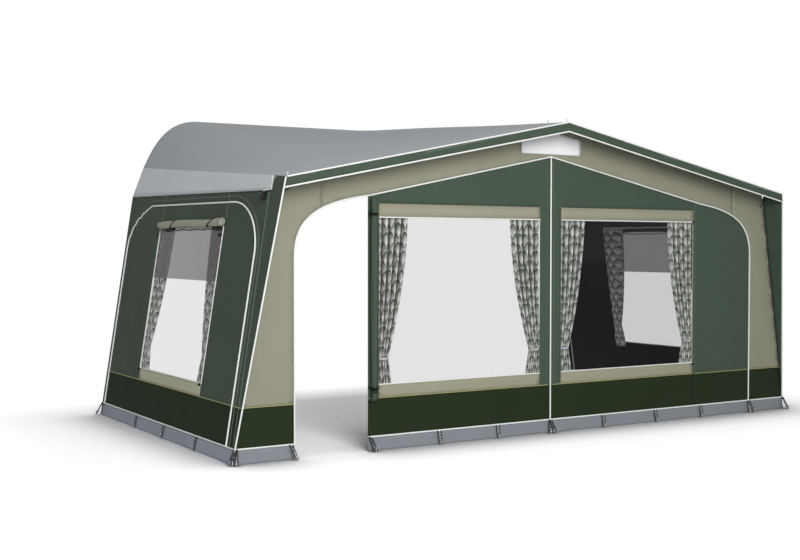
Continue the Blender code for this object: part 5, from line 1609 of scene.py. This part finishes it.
def ladder_points():
    """Tops of the ladders: (place, direction it stretches) for plain ones and for corner ones."""
    plain = [(front_place(x, LADDER_TOP, 0.006), FRONT_OUT) for x in FRONT_LADDERS]
    corner = []
    for x, angles in ((-2.21, (0.5,)), (-1.595, (0.30, 1.0)), (0.0, (-0.55, 0.0, 0.55)), (2.18, (-0.5, 0.4))):
        corner += [(front_place(x, LADDER_TOP, 0.006), turned_out(FRONT_OUT, angle)) for angle in angles]
    for side, _ in SIDES:
        place, outward = SIDE_PLACE[side], SIDE_AXES[side][2]
        flat_out = Vector((outward.x, outward.y, 0)).normalized()
        plain += [(place(*side_flat(side, back, LADDER_TOP), 0.006), flat_out) for back in SIDE_LADDERS]
        front = Vector((side * (BASE_FRONT - LEAN * HEM), WALL_Y - 0.004, LADDER_TOP))
        corner += [(front, turned_out(flat_out, side * -angle)) for angle in (0.35, 0.80, 1.25)]
        rear = place(*side_flat(side, DEPTH - 0.03, LADDER_TOP), 0.006)
        corner += [(rear, turned_out(flat_out, side * angle)) for angle in (0.1, 0.6)]
    return plain, corner


def peg_paths(tops, reach):
    """A wire peg at the foot of each ladder: a short shank and a hook that turns back to the wall."""
    shape = ((0.011, 0.0005), (0.010, 0.026), (0.006, 0.036), (-0.002, 0.037), (-0.009, 0.030), (-0.010, 0.019))
    paths = []
    for top, out in tops:
        foot = Vector((top.x, top.y, 0)) + out * reach
        paths.append([(foot + out * away + Vector((0, 0, rise)), out) for away, rise in shape])
    return paths


plain_tops, corner_tops = ladder_points()
for label, tops, lean, reach in (("mud_wall", plain_tops, 0.22, 0.020), ("corner", corner_tops, 0.52, 0.046)):
    length = (LADDER_TOP - 0.008) / math.cos(lean)
    grow("ladders_" + label, SHELL, LADDER_TREE, [[top] for top in tops], "mud_wall_cloth",
         Lean=lean, Length=length, Material=LADDER, Rung_Material=RUNG)
    grow("pegs_" + label, SHELL, CORD_TREE, peg_paths(tops, reach), "pole_steel",
         Radius=0.0024, Sides=8, Material=PEG)
print(len(plain_tops) + len(corner_tops), "ladders, each with its peg")

# %% [markdown]
# What is rolled up is tied. The door has two black webbing ties with loose ends, and each blind has
# two straps and a dark cord in its hem. Bands and straps follow the roll that they hold: each is the
# roll's own outline, drawn a little larger three times across the width of the webbing. Toggles hold
# what is rolled or drawn, and a buckle with its tongue and loop tensions each side wall's top.

# %% Ties, straps, toggles and buckles
TURN = [2 * math.pi * k / 30 for k in range(30)]
TIE_ENDS = (
    ((-1.600, 1.644, 0.052), (-1.614, 1.650, 0.048), (-1.625, 1.654, 0.040), (-1.632, 1.662, 0.034)),
    ((-1.600, 1.636, 0.052), (-1.615, 1.631, 0.046), (-1.624, 1.622, 0.038), (-1.626, 1.608, 0.032)),
    ((-1.606, 0.456, 0.050), (-1.592, 0.438, 0.066), (-1.574, 0.420, 0.070), (-1.556, 0.402, 0.066)),
    ((-1.552, 0.456, 0.066), (-1.570, 0.436, 0.071), (-1.590, 0.418, 0.066), (-1.608, 0.400, 0.052)),
)
HEM_CORD = [(0.735 + 0.0125 * step, 1.544 - 0.007 * math.sin(step * 0.16) ** 2) for step in range(100)]
WALL_LOOP = ((0.140, 1.768), (0.126, 1.779), (0.100, 1.786), (0.070, 1.790), (0.036, 1.792))


def black(name, body, tree, paths, **values):
    grow(name, body, tree, paths, "clamp_plastic", Material=BUCKLE, **values)


def make_door_ties():
    low, high = DOOR_ROLL[1], DOOR_ROLL[2]
    for number, tie in enumerate(DOOR_TIES):
        shares = [(tie + rise - low) / (high - low) for rise in (-0.009, 0.0, 0.009)]
        rings = [[door_roll_point(share, angle, 1.06) for angle in TURN] for share in shares]
        make_band("door_tie_%d" % (number + 1), "front_panel_left", rings, BLACK_WEB)
    ends = [[(front_place(x, z, out), FRONT_OUT) for x, z, out in route] for route in TIE_ENDS]
    black("door_tie_ends", "front_panel_left", CORD_TREE, ends, Radius=0.0028, Sides=6)


def make_blind_straps(side, label):
    shape = blind_roll_shape(side)
    start, end = BLIND_ENDS
    for number, strap in enumerate(BLIND_STRAPS):
        rings = []
        for wide in (-0.014, 0.0, 0.014):
            shares = [(strap + wide - 0.052 * math.cos(angle) - start) / (end - start) for angle in TURN]
            rings.append([shape(share, angle, 1.09) for share, angle in zip(shares, TURN)])
        name = "blind_strap_%s_%d" % (label, number + 1)
        make_band(name, "side_door_" + label, rings, BLACK_WEB)


make_door_ties()
for wall_side, wall_label in SIDES:
    make_blind_straps(wall_side, wall_label)


def studs(path):
    """Each point of a path as a path of its own, so that it gets one stud."""
    return [[point] for point in path]


def make_side_fittings(side, label):
    door, outward = "side_door_" + label, SIDE_AXES[side][2]

    def on_wall(route, out=0.003):
        return side_path(side, route, out)

    toggles = studs(on_wall([(2.027, 1.508), (0.770, 1.498), (0.741, 0.450), (2.019, 0.450)]))
    black("toggles_side_door_" + label, door, STUD_TREE, toggles, Radius=0.012)
    eyelet = [(0.722, 1.576)]
    grow("blind_eyelet_" + label, door, STUD_TREE, studs(on_wall(eyelet, 0.0335)), "vent_cloth",
         Radius=0.013, Height=0.003, Material=WHITE_TAPE)
    black("blind_eyelet_hole_" + label, door, STUD_TREE, studs(on_wall(eyelet, 0.0360)),
          Radius=0.006, Height=0.002)
    elastic = on_wall([(0.752, 1.566), (0.760, 1.532), (0.768, 1.502)], 0.004)
    black("toggle_elastic_" + label, door, CORD_TREE, [elastic], Radius=0.0018, Sides=6)
    buckle = [(SIDE_PLACE[side](*side_flat(side, 0.104, 1.783), 0.007), Vector((*outward.xy, 0)).normalized())]
    black("wall_buckle_" + label, SHELL, LADDER_TREE, [buckle],
          Length=0.056, Width=0.054, Bar=0.019, Rungs=3, Lean=0.16, Rung_Material=BUCKLE)
    tongue = on_wall([(0.103, 1.781), (0.104, 1.757), (0.107, 1.728)], 0.010)
    black("wall_tongue_" + label, SHELL, CORD_TREE, [tongue], Radius=0.0175)
    black("blind_hem_cord_" + label, door, CORD_TREE, [on_wall(HEM_CORD, 0.012)], Radius=0.0040, Sides=8)
    grow("wall_loop_" + label, SHELL, CORD_TREE, [on_wall(WALL_LOOP, 0.010)], "bead_cord",
         Radius=0.0055, Material=PIPING)


PANEL_TOGGLES = {"left": [(-1.603, 1.640), (-1.603, 0.444)], "right": [(1.506, 1.622), (1.508, 0.449)]}
for label, places in PANEL_TOGGLES.items():
    black("toggles_front_panel_" + label, "front_panel_" + label, STUD_TREE, studs(front_path(places, 0.003)))
for wall_side, wall_label in SIDES:
    make_side_fittings(wall_side, wall_label)

# %% [markdown]
# A few fittings are left. Each canopy corner has a short white spike for a storm strap and a grey
# strap that draws the canopy down to the wall. The vent cover has a bound edge, and small white
# gliders hang the curtains from their rails.

# %% Canopy fittings, vent binding and gliders
CANOPY_STRAP = (                  # half width, distance in front of the wall, height
    (2.262, 0.196, 1.832), (2.266, 0.150, 1.812), (2.272, 0.090, 1.792), (2.286, 0.036, 1.772),
    (2.306, 0.010, 1.752),
)


def make_canopy_fittings():
    spikes, straps = [], []
    tip = canopy_top(CANOPY_HALF)
    for side, _ in SIDES:
        base = canopy_place(side * (CANOPY_HALF - 0.004), tip - 0.004, -0.004)
        spikes.append([(base + Vector((0, 0, rise)), FRONT_OUT) for rise in (0.0, 0.018, 0.036)])
        straps.append([(Vector((side * x, WALL_Y - out, z)), FRONT_OUT) for x, out, z in CANOPY_STRAP])
    grow("canopy_spikes", SHELL, CORD_TREE, spikes, "bead_cord", Radius=0.0022, Material=PIPING)
    grow("canopy_straps", SHELL, CORD_TREE, straps, "mud_wall_cloth", Radius=0.0042, Material=STRAP)


def vent_binding():
    lower = rounded((-0.284, 2.146), (-0.254, 2.116), ((0, 0.55), (0.45, 1)), 5)
    lower += [(-x, z) for x, z in reversed(lower)]
    return [front_path([(-0.284, 2.234)] + lower + [(0.284, 2.234)], 0.0040)]


def make_gliders(name, folder, edge, sign, top, out):
    hangers = []
    for number in range(CURTAIN_PLEATS + 1):
        x = edge + sign * (0.018 + number * (CURTAIN_WIDTH - 0.014) / CURTAIN_PLEATS)
        hangers.append([(folder(x, top + rise, -0.0165), out) for rise in (0.030, 0.036, 0.0415)])
    grow("gliders_" + name, name, CORD_TREE, hangers, "bead_cord", Radius=0.0030, Sides=8, Material=RAIL)


make_canopy_fittings()
grow("vent_binding", SHELL, CORD_TREE, vent_binding(), "vent_cloth", Radius=0.0030, Material=WHITE_TAPE)
for curtain, (folder, edge, sign, _, top, _, out) in CURTAINS.items():
    make_gliders(curtain, folder, edge, sign, top, out)

# %% [markdown]
# The stage is a plain pale floor that reads as white where it is lit and keeps the soft shadow of
# the awning. Rays from the camera see a paler floor than the light that it throws back, with a painted
# contact shadow from an ambient occlusion node, darker where cloth stands close to it. Outside the
# awning's outline it soon turns into an even white glow, so that it runs into the white background.
# A wide soft lamp a little left of the front models the walls, and the world is bright at the horizon
# and dimmer overhead, as a studio with white walls and a dark ceiling is.

# %% Floor, light and world
FLOOR_HALF = 60
# the floor's painted contact shadow: the share of its brightness left at a wall's foot, and how far it reaches
FLOOR_SEEN, FLOOR_PAINTED_SHADOW_SHARE, FLOOR_PAINTED_SHADOW_REACH = 1.9, 0.25, 0.55   # brightness, share of it at a foot, and metres
FLOOR_SHADE = (0.08, 0.9)                                  # metres from the awning where the glow fades in
WORLD_HORIZON, WORLD_ZENITH = 0.66, 0.18
LAMP_PLACE, LAMP_TARGET, LAMP_SIZE, LAMP_POWER = (-3.7, -9.3, 3.8), (-0.5, -1.3, 1.2), 5.0, 600


def make_floor():
    mesh = bpy.data.meshes.new("floor")
    corners = [(x * FLOOR_HALF, y * FLOOR_HALF, 0) for x, y in ((-1, -1), (1, -1), (1, 1), (-1, 1))]
    mesh.from_pydata(corners, [], [(0, 1, 2, 3)])
    floor = add_object("floor", mesh)
    finish = Finish("floor_white", (0.78, 0.78, 0.78), 0.9, Specular_IOR_Level=0.0)
    seen = finish.node("ShaderNodeLightPath").outputs["Is Camera Ray"]
    # painted shadow: ambient occlusion darkens the floor where cloth stands close to it
    near = finish.node("ShaderNodeAmbientOcclusion", {"Distance": FLOOR_PAINTED_SHADOW_REACH}, samples=8).outputs["AO"]
    inputs = {"Value": near, "From Min": 0.45, "To Min": FLOOR_SEEN * FLOOR_PAINTED_SHADOW_SHARE, "To Max": FLOOR_SEEN}
    tone = finish.node("ShaderNodeMapRange", inputs).outputs[0]
    bright = finish.node("ShaderNodeBsdfDiffuse", {"Color": tone}).outputs[0]
    place = finish.solid
    steps = (("ABSOLUTE", (0, 0, 0)), ("SUBTRACT", (BASE_FRONT, -WALL_Y, 0)), ("MAXIMUM", (0, 0, 0)))
    for operation, other in steps:
        place = finish.node("ShaderNodeVectorMath", {0: place, 1: other}, operation=operation).outputs["Vector"]
    away = finish.node("ShaderNodeVectorMath", {0: place}, operation="LENGTH").outputs["Value"]
    inputs = {"Value": away, "From Min": FLOOR_SHADE[0], "From Max": FLOOR_SHADE[1]}
    far = finish.node("ShaderNodeMapRange", inputs).outputs[0]
    glow = finish.node("ShaderNodeEmission", {"Strength": 1.0}).outputs[0]
    white = finish.node("ShaderNodeMixShader", {0: far, 1: bright, 2: glow}).outputs[0]
    share = finish.node("ShaderNodeMixShader", {0: seen, 1: finish.shader.outputs[0], 2: white})
    finish.tree.links.new(share.outputs[0], finish.tree.nodes["Material Output"].inputs["Surface"])
    mesh.materials.append(finish.material)


def make_world():
    world = bpy.data.worlds.new("studio")
    bpy.context.scene.world = world
    world.use_nodes = True
    tree = world.node_tree
    tree.nodes.clear()
    rays = add_node(tree, "ShaderNodeLightPath").outputs
    seen = rays["Is Camera Ray"]
    for label in ("Is Glossy Ray", "Is Transmission Ray"):
        seen = add_node(tree, "ShaderNodeMath", {0: seen, 1: rays[label]}, operation="MAXIMUM").outputs[0]
    direction = add_node(tree, "ShaderNodeTexCoord").outputs["Generated"]
    height = add_node(tree, "ShaderNodeSeparateXYZ", {0: direction}).outputs["Z"]
    inputs = {"Value": height, "From Max": 0.9, "To Min": WORLD_HORIZON, "To Max": WORLD_ZENITH}
    fade = add_node(tree, "ShaderNodeMapRange", inputs).outputs[0]
    soft = add_node(tree, "ShaderNodeBackground", {"Strength": fade, "Color": (0.97, 0.985, 1.0, 1)}).outputs[0]
    white = add_node(tree, "ShaderNodeBackground", {"Color": (1, 1, 1, 1)}).outputs[0]
    share = add_node(tree, "ShaderNodeMixShader", {0: seen, 1: soft, 2: white}).outputs[0]
    add_node(tree, "ShaderNodeOutputWorld", {"Surface": share})


def make_lamp():
    lamp = bpy.data.lights.new("key_lamp", "AREA")
    lamp.shape, lamp.size, lamp.energy = "DISK", LAMP_SIZE, LAMP_POWER
    item = add_object("key_lamp", lamp)
    item.location = LAMP_PLACE
    item.rotation_euler = (Vector(LAMP_TARGET) - Vector(LAMP_PLACE)).to_track_quat("-Z", "Y").to_euler()


make_floor()
make_world()
make_lamp()
bpy.context.scene.view_settings.view_transform = "Standard"
print("floor, world and one lamp")
